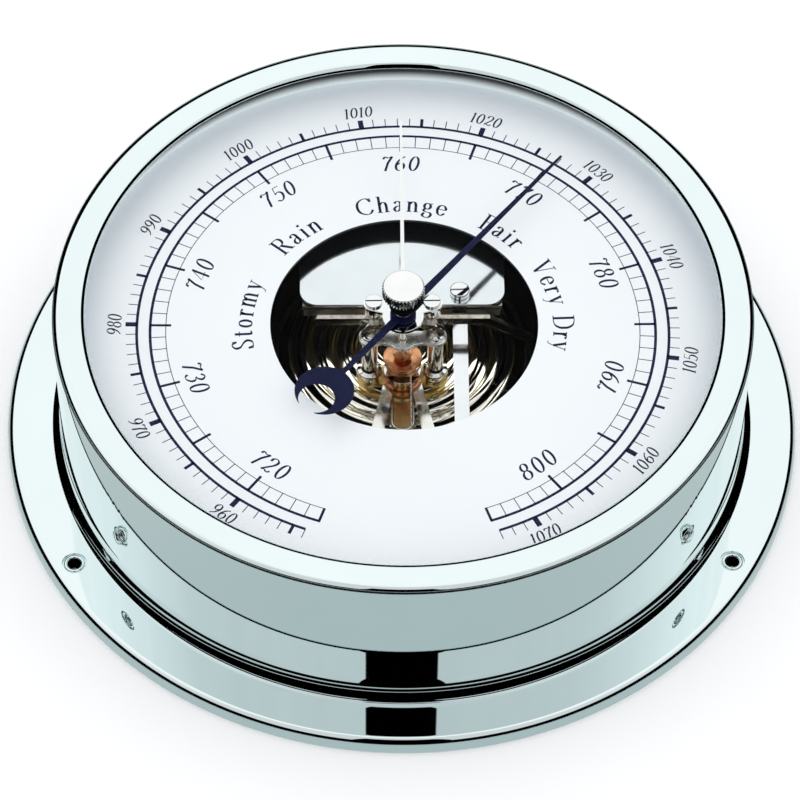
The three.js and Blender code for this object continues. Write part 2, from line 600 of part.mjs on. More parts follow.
function upperBridge() {
  const ears = [[-POST.x, POST.y], [POST.x, POST.y]];
  const names = ['left', 'right'];
  const body = bridgePlate(3.8, ears, 1.95, 1.1, UPPER_BRIDGE.z, UPPER_BRIDGE.t, 0.9);
  const seat = UPPER_BRIDGE.z + UPPER_BRIDGE.t + 0.05;
  const posts = names.map((side, i) => {
    const post = turned(band(0.9, POST.r, CROSS_ARM.top + 0.05, UPPER_BRIDGE.z - 0.05), SMALL);
    return at(piece(`bridge_post_${side}`, post, nickel), ...ears[i], 0);
  });
  const screws = names.map((side, i) => {
    const screw = slottedScrew(1.6, 0.45, 0.8, 4.4, 0.02);
    return at(piece(`upper_bridge_screw_${side}`, screw, chrome), ...ears[i], seat);
  });
  return [...posts, piece('upper_bridge', body, chrome), ...screws];
}

// ---- hands ------------------------------------------------------------------------------------

function arborParts() {
  const { z, t } = POINTER;
  const hubBottom = UPPER_BRIDGE.z + UPPER_BRIDGE.t + 0.25;
  const arbor = rod(0, 0, ARBOR_R, TONGUE.z + TONGUE.t + 0.5, z - 0.35);
  const bore = ARBOR_R + 0.05;
  const flangeR = 3.65;
  const drum = turned([
    [bore, 19.7],
    [flangeR, 19.7],
    [flangeR, 20.15],
    [DRUM_R - 0.1, 20.3],
    [DRUM_R - 0.1, 21.5],
    [1.9, 21.5],
    [1.9, 21.8],
    [bore, 21.8],
  ], SMALL);
  const hub = turned([
    [bore, hubBottom],
    [2.4, hubBottom],
    [2.4, z - 0.05],
    [1.2, z - 0.05],
    [1.2, z + t + 0.2],
    [0, z + t + 0.2],
    [0, z - 0.3],
    [bore, z - 0.3],
  ], SMALL);
  return [
    piece('arbor', arbor, nickel),
    piece('chain_drum', drum, copper),
    piece('pointer_hub', hub, bluedSteel),
  ];
}

function pointer() {
  const { clock, z, t, tipR, rootHalf, tipHalf } = POINTER;
  const { centreR, outerR, cutR, cutShift } = CRESCENT;
  const blade = plate(barOutline([0, 0], [0, tipR], rootHalf, tipHalf), z, t);
  const tail = plate(barOutline([0, 0], [0, -centreR + outerR - 0.4], rootHalf, 0.5), z, t);
  const crescent = rod(0, -centreR, outerR, z, z + t, MEDIUM)
    .subtract(rod(0, -centreR - cutShift, cutR, z - 1, z + 1, MEDIUM));
  const body = blade.add(tail).add(rod(0, 0, 2.2, z, z + t)).add(crescent);
  const mesh = piece('pointer', body.subtract(rod(0, 0, 1.25, z - 1, z + 1)), bluedSteel);
  mesh.rotation.z = -THREE.MathUtils.degToRad(clock);
  return mesh;
}

/** Flat spiral ribbon round the arbor. */
function hairspring() {
  const turns = 4;
  const stepsPerTurn = 14;
  const ribbon = { innerR: 1.0, outerR: 3.4, t: 0.18, h: 0.5, z: 18.3 };
  const edge = (offset) => Array.from({ length: turns * stepsPerTurn + 1 }, (_, i) => {
    const angle = (2 * Math.PI * i) / stepsPerTurn;
    const r = ribbon.innerR + ((ribbon.outerR - ribbon.innerR) * i) / (turns * stepsPerTurn) + offset;
    return [r * Math.cos(angle), r * Math.sin(angle)];
  });
  const outline = [...edge(0), ...edge(ribbon.t).reverse()];
  return piece('hairspring', plate(outline, ribbon.z, ribbon.h), copper);
}

function setHand() {
  const { z, t, tipR, rootHalf, tipHalf } = SET_HAND;
  const blade = plate(barOutline([0, 0], [0, tipR], rootHalf, tipHalf), z, t);
  return piece('set_hand', blade.add(rod(0, 0, 1.7, z, z + t)).subtract(rod(0, 0, 0.75, z - 1, z + 1)), chrome);
}

function knob() {
  const { r, rootR, teeth, bottom, top, neckR, shaftR } = KNOB;
  const outline = Array.from({ length: 2 * teeth }, (_, i) => {
    const angle = (Math.PI * i) / teeth;
    const radius = i % 2 === 0 ? r : rootR;
    return [radius * Math.cos(angle), radius * Math.sin(angle)];
  });
  const neckBottom = GLASS_TOP + 0.45;
  const spindle = turned([
    [0, SET_HAND.z],
    [0.7, SET_HAND.z],
    [0.7, SET_HAND.z + SET_HAND.t + 0.05],
    [shaftR, SET_HAND.z + SET_HAND.t + 0.05],
    [shaftR, neckBottom],
    [neckR, neckBottom],
    [neckR, bottom],
    [r - 0.9, bottom],
    [r - 0.9, top],
    [0, top],
  ], SMALL);
  const knurl = plate(outline, bottom, top - bottom);
  const washer = turned(band(GLASS_HOLE_R, 2.6, GLASS_TOP + GAP, neckBottom - GAP), SMALL);
  return [piece('knob', knurl.add(spindle), chrome), piece('knob_washer', washer, blackPaint)];
}

/** Zero adjustment, turned with a screwdriver through the rear cover. */
function adjustingScrew() {
  const screw = piece('adjusting_screw', slottedScrew(2.3, 1.2, 1.4, 7, 0.4), brass);
  screw.rotation.x = Math.PI;
  return at(screw, 0, SPRING_Y, 3.4);
}

// ---- assembly -----------------------------------------------------------------------------------

const barometer = new THREE.Group();

const housing = new THREE.Group();
const caseScrews = SIDE_HOLE.clocks.map((clock, i) => caseScrew(i + 1, clock));
housing.add(caseShell(), bezelRing(), rearCover(), ...glazing(), ...caseScrews);

const movement = new THREE.Group();
movement.add(basePlate(), ...baseFixings(), ...capsule(), ...springSeat(), ...mainSpring(), adjustingScrew());
movement.add(link(), ...rockingShaft(), chain(), rockerBracket(), guardWire(), ...carrier());
movement.add(...lowerBridge(), crossArm(), ...upperBridge(), hairspring(), ...arborParts());

const hands = new THREE.Group();
hands.add(pointer(), setHand(), ...knob());

barometer.add(housing, movement, hands);

export default barometer;
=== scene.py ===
import json
import math

import bmesh
import bpy
from mathutils import Matrix, Quaternion, Vector


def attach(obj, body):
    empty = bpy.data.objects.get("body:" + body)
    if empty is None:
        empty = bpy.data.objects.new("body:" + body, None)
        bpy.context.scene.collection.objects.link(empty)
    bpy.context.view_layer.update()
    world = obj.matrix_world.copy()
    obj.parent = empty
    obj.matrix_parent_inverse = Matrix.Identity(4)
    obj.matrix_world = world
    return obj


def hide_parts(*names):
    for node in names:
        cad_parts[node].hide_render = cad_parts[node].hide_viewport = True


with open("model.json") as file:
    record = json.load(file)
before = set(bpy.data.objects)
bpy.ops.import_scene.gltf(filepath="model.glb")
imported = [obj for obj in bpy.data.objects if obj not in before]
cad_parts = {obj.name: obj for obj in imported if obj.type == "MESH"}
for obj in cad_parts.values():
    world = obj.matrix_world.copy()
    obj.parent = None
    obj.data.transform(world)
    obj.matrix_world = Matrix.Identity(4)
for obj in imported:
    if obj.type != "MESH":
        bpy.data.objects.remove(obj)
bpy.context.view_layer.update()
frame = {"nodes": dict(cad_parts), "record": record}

# Lengths below are millimetres in the frame's axes until place() scales a piece to metres.
MM = 0.001
FINE = 256
MEDIUM = 96
SMALL = 48
BODY_OF = {node: body for body, nodes in frame["record"]["behaviour"]["bodies"].items() for node in nodes}


# ---- node helpers --------------------------------------------------------------------------------

def add(tree, kind, inputs=None, **properties):
    """A new node with its properties set and its inputs linked or given values."""
    node = tree.nodes.new(kind)
    for key, value in properties.items():
        setattr(node, key, value)
    for key, value in (inputs or {}).items():
        if isinstance(value, bpy.types.NodeSocket):
            tree.links.new(value, node.inputs[key])
        else:
            node.inputs[key].default_value = value
    return node


def math_node(tree, operation, first, second=0.0):
    node = add(tree, "ShaderNodeMath", {0: first, 1: second}, operation=operation)
    return node.outputs[0]


def map_range(tree, value, low, high, to_low=0.0, to_high=1.0, smooth=False):
    inputs = {"Value": value, "From Min": low, "From Max": high, "To Min": to_low, "To Max": to_high}
    kind = "SMOOTHSTEP" if smooth else "LINEAR"
    return add(tree, "ShaderNodeMapRange", inputs, interpolation_type=kind).outputs[0]


def mix_colour(tree, factor, first, second):
    node = add(tree, "ShaderNodeMix", data_type="RGBA")
    for key, value in ((0, factor), (6, first), (7, second)):
        if isinstance(value, bpy.types.NodeSocket):
            tree.links.new(value, node.inputs[key])
        else:
            node.inputs[key].default_value = value
    return node.outputs[2]


def noise(tree, vector, scale, detail=3.0, roughness=0.55):
    inputs = {"Vector": vector, "Scale": scale, "Detail": detail, "Roughness": roughness}
    return add(tree, "ShaderNodeTexNoise", inputs).outputs[0]


def component(tree, vector, index):
    return add(tree, "ShaderNodeSeparateXYZ", {0: vector}).outputs[index]


def axis_distance(tree, place_of):
    """Distance from the upright axis through the origin."""
    flat = add(tree, "ShaderNodeMapping", {"Vector": place_of, "Scale": (1, 1, 0)}).outputs[0]
    return add(tree, "ShaderNodeVectorMath", {0: flat}, operation="LENGTH").outputs["Value"]


def blank(name):
    material = bpy.data.materials.new(name)
    material.use_nodes = True
    material.node_tree.nodes.clear()
    return material, material.node_tree


def surface(tree, shader):
    add(tree, "ShaderNodeOutputMaterial", {"Surface": shader})


# ---- materials -----------------------------------------------------------------------------------

def metal(name, colour, shade, rough, grain=3000.0, stretch=(1, 1, 1), bump=0.05, smudge=60.0, turned=0.0,
          joint_shade=None):
    """Plated or polished metal: smudged polish over a fine grain.

    Turned adds lathe lines, and seam (low, high, radius) paints shade black in a joint beyond a radius.
    """
    material, tree = blank(name)
    place_of = add(tree, "ShaderNodeTexCoord").outputs["Object"]
    cloudy = noise(tree, place_of, smudge, 5.0, 0.6)
    stretched = add(tree, "ShaderNodeMapping", {"Vector": place_of, "Scale": stretch}).outputs[0]
    fine = noise(tree, stretched, grain, 2.0)
    if turned:
        rings = {"W": axis_distance(tree, place_of), "Scale": turned, "Detail": 1.0}
        lines = add(tree, "ShaderNodeTexNoise", rings, noise_dimensions="1D").outputs[0]
        fine = math_node(tree, "ADD", math_node(tree, "MULTIPLY", fine, 0.4),
                         math_node(tree, "MULTIPLY", lines, 0.6))
    tone = map_range(tree, cloudy, 0.3, 0.7)
    relief = add(tree, "ShaderNodeBump", {"Height": fine, "Strength": bump, "Distance": 0.00004}).outputs[0]
    polish = mix_colour(tree, tone, (*colour, 1), (*shade, 1))
    # Painted shade: between two heights beyond a radius the polish is painted black, for the joint's shadow.
    if joint_shade:
        low, high, inner = (value * MM for value in joint_shade)
        height = component(tree, place_of, 2)
        away = math_node(tree, "ABSOLUTE", math_node(tree, "SUBTRACT", height, (low + high) / 2))
        beyond = math_node(tree, "GREATER_THAN", axis_distance(tree, place_of), inner)
        inside = math_node(tree, "MULTIPLY", math_node(tree, "LESS_THAN", away, (high - low) / 2), beyond)
        polish = mix_colour(tree, inside, polish, (0.002, 0.002, 0.002, 1))
    shader = add(tree, "ShaderNodeBsdfPrincipled", {
        "Base Color": polish,
        "Metallic": 1.0,
        "Roughness": map_range(tree, cloudy, 0.3, 0.7, rough[0], rough[1]),
        "Normal": relief,
    })
    surface(tree, shader.outputs[0])
    return material


def painted(name, colour, shade, rough, speck=9000.0, bump=0.05, gloss=0.5, smudge=90.0, under=None,
            shade_band=None, painted_glow=0.0, painted_glow_tint=None):
    """Enamel, ink or moulded stock: mottled, over a fine orange-peel relief.

    Faces that do not look up take the colour under as painted shade, and fade paints shade that darkens
    the paint between two heights. Painted light: lift and its colour glow give an emission that stands for
    the light that a white face passes on inside the case.
    """
    material, tree = blank(name)
    place_of = add(tree, "ShaderNodeTexCoord").outputs["Object"]
    cloudy = noise(tree, place_of, smudge, 4.0)
    fine = noise(tree, place_of, speck, 2.0)
    specks = map_range(tree, fine, 0.2, 0.8, 0.6, 1.0)
    tone = math_node(tree, "MULTIPLY", map_range(tree, cloudy, 0.3, 0.7), specks)
    relief = add(tree, "ShaderNodeBump", {"Height": fine, "Strength": bump, "Distance": 0.00003}).outputs[0]
    coat = mix_colour(tree, tone, (*colour, 1), (*shade, 1))
    # Painted light: the emission's colour, a given tint or else the paint's own colour.
    painted_glow_colour = (*painted_glow_tint, 1) if painted_glow_tint else coat
    # Painted shade: faces that do not look up are painted a dark colour.
    if under:
        facing = add(tree, "ShaderNodeTexCoord").outputs["Normal"]
        top = map_range(tree, component(tree, facing, 2), 0.4, 0.8)
        coat = mix_colour(tree, top, (*under, 1), coat)
        painted_glow_colour = mix_colour(tree, top, (*under, 1), painted_glow_colour)
    # Painted shadow: the paint darkens to black between two heights.
    if shade_band:
        dark = map_range(tree, component(tree, place_of, 2), shade_band[0] * MM, shade_band[1] * MM, smooth=True)
        coat = mix_colour(tree, dark, coat, (0.003, 0.003, 0.004, 1))
        painted_glow_colour = coat
    shader = add(tree, "ShaderNodeBsdfPrincipled", {
        "Base Color": coat,
        "Roughness": map_range(tree, cloudy, 0.3, 0.7, rough[0], rough[1]),
        "Specular IOR Level": gloss,
        "Emission Color": painted_glow_colour,
        "Emission Strength": painted_glow,
        "Normal": relief,
    })
    surface(tree, shader.outputs[0])
    return material


def clear_glass(name):
    """Flat window glass that hardly mirrors, with a trace of dust."""
    material, tree = blank(name)
    place_of = add(tree, "ShaderNodeTexCoord").outputs["Object"]
    dust = map_range(tree, noise(tree, place_of, 700.0, 6.0, 0.75), 0.55, 0.9, 0.0, 0.02)
    fresnel = add(tree, "ShaderNodeFresnel", {"IOR": 1.45}).outputs[0]
    faint = math_node(tree, "MULTIPLY", fresnel, 0.02)
    weight = math_node(tree, "ADD", faint, math_node(tree, "MULTIPLY", dust, 0.05))
    through = add(tree, "ShaderNodeBsdfTransparent", {"Color": (0.985, 0.992, 0.992, 1)}).outputs[0]
    gloss = add(tree, "ShaderNodeBsdfGlossy", {"Color": (0.95, 0.98, 1.0, 1), "Roughness": 0.015}).outputs[0]
    mixed = add(tree, "ShaderNodeMixShader", {0: weight, 1: through, 2: gloss}).outputs[0]
    surface(tree, mixed)
    return material


# The black band on the chrome at the joint under the bezel is painted shade.
CHROME = metal("chrome_plate", (0.77, 0.86, 0.865), (0.755, 0.845, 0.85), (0.008, 0.02), 5000.0, bump=0.008,
               turned=9000.0, joint_shade=(35.42, 35.70, 63.5))
CHROME_SMALL = metal("chrome_small", (0.88, 0.89, 0.88), (0.82, 0.83, 0.83), (0.03, 0.08), 4000.0, bump=0.03)
NICKEL = metal("nickel_plate", (0.88, 0.86, 0.82), (0.78, 0.75, 0.70), (0.05, 0.12), 5000.0, bump=0.05,
               smudge=300.0)
CHAMPAGNE = metal("capsule_alloy", (0.92, 0.90, 0.82), (0.80, 0.76, 0.66), (0.05, 0.11), 4000.0, bump=0.05,
                  smudge=140.0)
STEEL = metal("spring_steel", (0.79, 0.83, 0.85), (0.74, 0.78, 0.80), (0.08, 0.14), 2500.0, (0.05, 1, 1),
              bump=0.08, smudge=120.0)
STRIP = metal("lever_steel", (0.86, 0.88, 0.89), (0.78, 0.80, 0.81), (0.08, 0.16), 2500.0, (1, 0.05, 1),
              bump=0.10, smudge=160.0)
COPPER = metal("copper_bronze", (0.86, 0.46, 0.25), (0.55, 0.23, 0.10), (0.12, 0.26), 5000.0, bump=0.12,
               smudge=500.0)
BRASS = metal("brass_turned", (0.80, 0.62, 0.30), (0.60, 0.44, 0.19), (0.14, 0.26), 5000.0, bump=0.12,
              smudge=300.0)
NAVY = painted("navy_enamel", (0.006, 0.008, 0.042), (0.004, 0.005, 0.030), (0.35, 0.5), gloss=0.1)
INK = painted("navy_ink", (0.012, 0.013, 0.060), (0.008, 0.009, 0.045), (0.5, 0.62), gloss=0.15)
# Painted light and shade: black faces that do not look up, and a bluish emission that tints the shade.
DIAL = painted("dial_enamel", (0.778, 0.73, 0.71), (0.768, 0.72, 0.70), (0.42, 0.5), bump=0.03, smudge=50.0,
               under=(0.004, 0.004, 0.005), painted_glow=0.19, painted_glow_tint=(0.42, 0.74, 0.98))
# Painted shadow: the ring turns black towards its top, under the lip; its emission is painted light.
RING = painted("ring_enamel", (0.84, 0.88, 0.89), (0.80, 0.85, 0.86), (0.42, 0.5), bump=0.03,
               shade_band=(29.3, 32.0), painted_glow=0.1)
BAR = metal("dark_steel", (0.34, 0.31, 0.27), (0.16, 0.14, 0.12), (0.12, 0.24), 3000.0, bump=0.15,
            smudge=500.0)
ARM = metal("arm_steel", (0.62, 0.58, 0.52), (0.34, 0.29, 0.24), (0.10, 0.2), 3000.0, bump=0.12,
            smudge=700.0)
MATT = metal("frosted_nickel", (0.99, 0.99, 0.98), (0.95, 0.95, 0.94), (0.24, 0.32), 9000.0, bump=0.2,
             smudge=400.0)
BLACK = painted("satin_black", (0.0015, 0.0015, 0.0018), (0.003, 0.003, 0.003), (0.45, 0.6), gloss=0.1)
RUBBER = painted("rubber", (0.006, 0.006, 0.006), (0.01, 0.01, 0.01), (0.7, 0.85), bump=0.15, gloss=0.2)
GLASS = clear_glass("window_glass")


# ---- outline helpers -----------------------------------------------------------------------------

def at_clock(clock, radius):
    """The (x, y) point at an angle clockwise from twelve o'clock."""
    angle = math.radians(clock)
    return radius * math.sin(angle), radius * math.cos(angle)


def rounded(points, step=12.0):
    """A closed polygon with each (u, v, fillet) corner turned into an arc."""
    out = []
    count = len(points)
    for i, point in enumerate(points):
        fillet = point[2] if len(point) > 2 else 0.0
        here = Vector(point[:2])
        back = Vector(points[i - 1][:2]) - here
        ahead = Vector(points[(i + 1) % count][:2]) - here
        if not fillet:
            out.append(tuple(here))
            continue
        half = back.angle(ahead) / 2
        reach = min(fillet / math.tan(half), 0.49 * back.length, 0.49 * ahead.length)
        radius = reach * math.tan(half)
        start = here + back.normalized() * reach
        end = here + ahead.normalized() * reach
        centre = here + (back.normalized() + ahead.normalized()).normalized() * (radius / math.sin(half))
        turn = math.pi - 2 * half
        steps = max(2, math.ceil(math.degrees(turn) / step))
        first, last = start - centre, end - centre
        sign = 1 if first.x * last.y - first.y * last.x > 0 else -1
        for k in range(steps + 1):
            angle = sign * turn * k / steps
            cos, sin = math.cos(angle), math.sin(angle)
            out.append((centre.x + first.x * cos - first.y * sin, centre.y + first.x * sin + first.y * cos))
    return out


def arc(r, z, radius, first, last, steps=12):
    """Points of an arc round (r, z) between two angles in degrees."""
    angles = [math.radians(first + (last - first) * i / steps) for i in range(steps + 1)]
    return [(r + radius * math.cos(angle), z + radius * math.sin(angle)) for angle in angles]


def circle(centre, radius, count=SMALL):
    return [(centre[0] + radius * math.cos(2 * math.pi * i / count),
             centre[1] + radius * math.sin(2 * math.pi * i / count)) for i in range(count)]


def star(shapes, step=2.0):
    """Outline seen from the origin round a union of (centre, radius) discs and (end, half, end half) bars."""
    out = []
    for i in range(round(360 / step)):
        ray = Vector((math.cos(math.radians(i * step)), math.sin(math.radians(i * step))))
        out.append(ray * max(reach(shape, ray) for shape in shapes))
    return [tuple(p) for p in out]


def reach(shape, ray):
    """How far a disc or bar of star() stretches along a ray from the origin."""
    if len(shape) == 2:
        centre, radius = Vector(shape[0]), shape[1]
        along = centre.dot(ray)
        square = radius ** 2 - (centre.length ** 2 - along ** 2)
        return along + math.sqrt(square) if square > 0 and along >= -1e-9 or centre.length < radius else 0.0
    end, half, end_half = Vector(shape[0]), shape[1], shape[2]
    axis = end.normalized()
    along, side = ray.dot(axis), abs(ray.x * axis.y - ray.y * axis.x)
    if along <= 0:
        return 0.0
    slope = (end_half - half) / end.length
    meet = half / (side - slope * along) if side > slope * along else math.inf
    return min(meet, end.length / along)


# ---- mesh helpers --------------------------------------------------------------------------------

def to_object(name, bm):
    bmesh.ops.recalc_face_normals(bm, faces=bm.faces)
    mesh = bpy.data.meshes.new(name)
    bm.to_mesh(mesh)
    bm.free()
    obj = bpy.data.objects.new(name, mesh)
    bpy.context.scene.collection.objects.link(obj)
    return obj


def lathe(name, section, sides=FINE, centre=(0, 0)):
    """A turned piece from its closed (r, z) section; points on the axis become poles."""
    bm = bmesh.new()
    rings = []
    for r, z in section:
        if r < 1e-6:
            rings.append([bm.verts.new((centre[0], centre[1], z))] * sides)
            continue
        ring = []
        for i in range(sides):
            angle = 2 * math.pi * i / sides
            ring.append(bm.verts.new((centre[0] + r * math.cos(angle), centre[1] + r * math.sin(angle), z)))
        rings.append(ring)
    for k, ring in enumerate(rings):
        above = rings[(k + 1) % len(rings)]
        for i in range(sides):
            j = (i + 1) % sides
            corners = []
            for vert in (ring[i], ring[j], above[j], above[i]):
                if vert not in corners:
                    corners.append(vert)
            if len(corners) > 2:
                bm.faces.new(corners)
    return to_object(name, bm)


def plate(name, outline, bottom, top, edge=0.06, segments=2):
    """A flat plate of an outline with its rims eased by edge."""
    bm = bmesh.new()
    face = bm.faces.new([bm.verts.new((x, y, bottom)) for x, y in outline])
    raised = bmesh.ops.extrude_face_region(bm, geom=[face])["geom"]
    lifted = [g for g in raised if isinstance(g, bmesh.types.BMVert)]
    bmesh.ops.translate(bm, verts=lifted, vec=(0, 0, top - bottom))
    if edge:
        rims = [e for e in bm.edges if abs(e.verts[0].co.z - e.verts[1].co.z) < 1e-6]
        bmesh.ops.bevel(bm, geom=rims, offset=edge, segments=segments, affect="EDGES", clamp_overlap=True)
    return to_object(name, bm)


def tube(name, path, radius, sides=12):
    """A closed round tube along points."""
    bm = bmesh.new()
    points = [Vector(p) for p in path]
    rings = []
    for i, point in enumerate(points):
        ahead = points[min(i + 1, len(points) - 1)] - points[max(i - 1, 0)]
        turn = ahead.to_track_quat("Z", "Y")
        ring = []
        for k in range(sides):
            angle = 2 * math.pi * k / sides
            spoke = Vector((radius * math.cos(angle), radius * math.sin(angle), 0))
            ring.append(bm.verts.new(point + turn @ spoke))
        rings.append(ring)
    for low, high in zip(rings, rings[1:]):
        for k in range(sides):
            bm.faces.new((low[k], low[(k + 1) % sides], high[(k + 1) % sides], high[k]))
    bm.faces.new(rings[0])
    bm.faces.new(rings[-1])
    return to_object(name, bm)


def bake(obj):
    """The object's mesh with its modifiers applied."""
    graph = bpy.context.evaluated_depsgraph_get()
    graph.update()
    solved = obj.evaluated_get(graph)
    mesh = bpy.data.meshes.new_from_object(solved, preserve_all_data_layers=True, depsgraph=graph)
    obj.modifiers.clear()
    old = obj.data
    obj.data = mesh
    bpy.data.meshes.remove(old)
    return obj


def combine(obj, others, operation="DIFFERENCE"):
    """Cut the others out of a piece, or unite them with it, and delete them."""
    for other in others:
        modifier = obj.modifiers.new("combine", "BOOLEAN")
        modifier.operation = operation
        modifier.solver = "EXACT"
        modifier.object = other
    bake(obj)
    for other in others:
        bpy.data.objects.remove(other, do_unlink=True)
    return obj


def box_piece(name, low, high, edge=0.08):
    outline = [(low[0], low[1]), (high[0], low[1]), (high[0], high[1]), (low[0], high[1])]
    return plate(name, outline, low[2], high[2], edge)


def join(name, parts):
    """Several closed shapes as one piece."""
    bm = bmesh.new()
    for part in parts:
        part.data.transform(part.matrix_world)
        bm.from_mesh(part.data)
        bpy.data.objects.remove(part, do_unlink=True)
    return to_object(name, bm)


def refined(node, edge=0.08, limit=40.0):
    """A finer copy of a flat-sided CAD node: flat faces merged and every sharp edge eased."""
    bm = bmesh.new()
    bm.from_mesh(frame["nodes"][node].data)
    bmesh.ops.scale(bm, vec=(1 / MM, 1 / MM, 1 / MM), verts=bm.verts)
    bmesh.ops.remove_doubles(bm, verts=bm.verts, dist=1e-3)
    bmesh.ops.dissolve_limit(bm, angle_limit=math.radians(0.6), verts=bm.verts, edges=bm.edges)
    obj = to_object(node + "_look", bm)
    bevel = obj.modifiers.new("ease", "BEVEL")
    bevel.width = edge
    bevel.segments = 2
    bevel.limit_method = "ANGLE"
    bevel.angle_limit = math.radians(limit)
    return bake(obj)


def place(obj, node, material, sharp=35.0):
    """Scale a piece to metres, shade it, and let it stand for its CAD node on that node's body."""
    mesh = obj.data
    obj.name = node + "_look"
    mesh.transform(Matrix.Scale(MM, 4))
    mesh.materials.clear()
    mesh.materials.append(material)
    mesh.shade_smooth()
    mesh.set_sharp_from_angle(angle=math.radians(sharp))
    weighted = obj.modifiers.new("weighted", "WEIGHTED_NORMAL")
    weighted.keep_sharp = True
    bake(obj)
    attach(obj, BODY_OF[node])
    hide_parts(node)
    return obj


def screw(node, centre, head_r, head_h, shank_r, shank_l, turn, material, down=False):
    """Slotted screw whose head's underside is at centre, pointing up or down."""
    round_r = min(0.22 * head_h, 0.3)
    section = rounded([(0, -shank_l), (shank_r, -shank_l, 0.15), (shank_r, 0), (head_r, 0, 0.06),
                       (head_r, head_h, round_r), (0, head_h)])
    obj = lathe(node, section, SMALL)
    width = head_r * 0.26
    depth = min(0.4 * head_h, 0.6)
    reach_x = 1.3 * head_r
    slot = box_piece("slot", (-reach_x, -width / 2, head_h - depth), (reach_x, width / 2, head_h + 1), 0)
    slot.data.transform(Matrix.Rotation(turn, 4, "Z"))
    combine(obj, [slot])
    if down:
        obj.data.transform(Matrix.Rotation(math.pi, 4, "X"))
    obj.data.transform(Matrix.Translation(centre))
    return place(obj, node, material)


def upright(x, y, radius, bottom, top, sides=SMALL):
    return lathe("rod", [(0, bottom), (radius, bottom), (radius, top), (0, top)], sides, (x, y))


# ---- case ----------------------------------------------------------------------------------------

FLANGE_R = 75
FLANGE_TOP = 3.45
WALL_R = 64.7
BEZEL_TOP = 36.5
DIAL_R = 62.6
DIAL_BOTTOM = 28.5
DIAL_TOP = 29.1
BORE_R = 1.2
FLANGE_HOLES = [at_clock(clock, 70.45) for clock in (0, 120, 240)]
SIDE_CLOCKS = (0, 127, 233)
SIDE_Z = 17.0
BASE_FIXINGS = [at_clock(clock, 42) for clock in (60, 180, 300)]


def radial(obj, clock, z):
    """Turn an upright piece so that it points outward at a clock angle and height."""
    obj.data.transform(Matrix.Rotation(-math.pi / 2, 4, "X"))
    obj.data.transform(Matrix.Rotation(-math.radians(clock), 4, "Z"))
    obj.data.transform(Matrix.Translation((0, 0, z)))
    return obj


def hole_cutter(bore, lip, top, bottom=-2.0):
    """Cutter of a drilled hole with a rounded ridge in a fine groove, just under the surface at top."""
    ridge = (lip - bore - 0.3) / 2
    crest = top - 0.03 - ridge
    return lathe("hole", [(0, bottom), (bore, bottom), *arc(bore + ridge, crest, ridge, 180, 0),
                          (lip - 0.15, top - 0.45), (lip, top), (lip, top + 2), (0, top + 2)], SMALL)


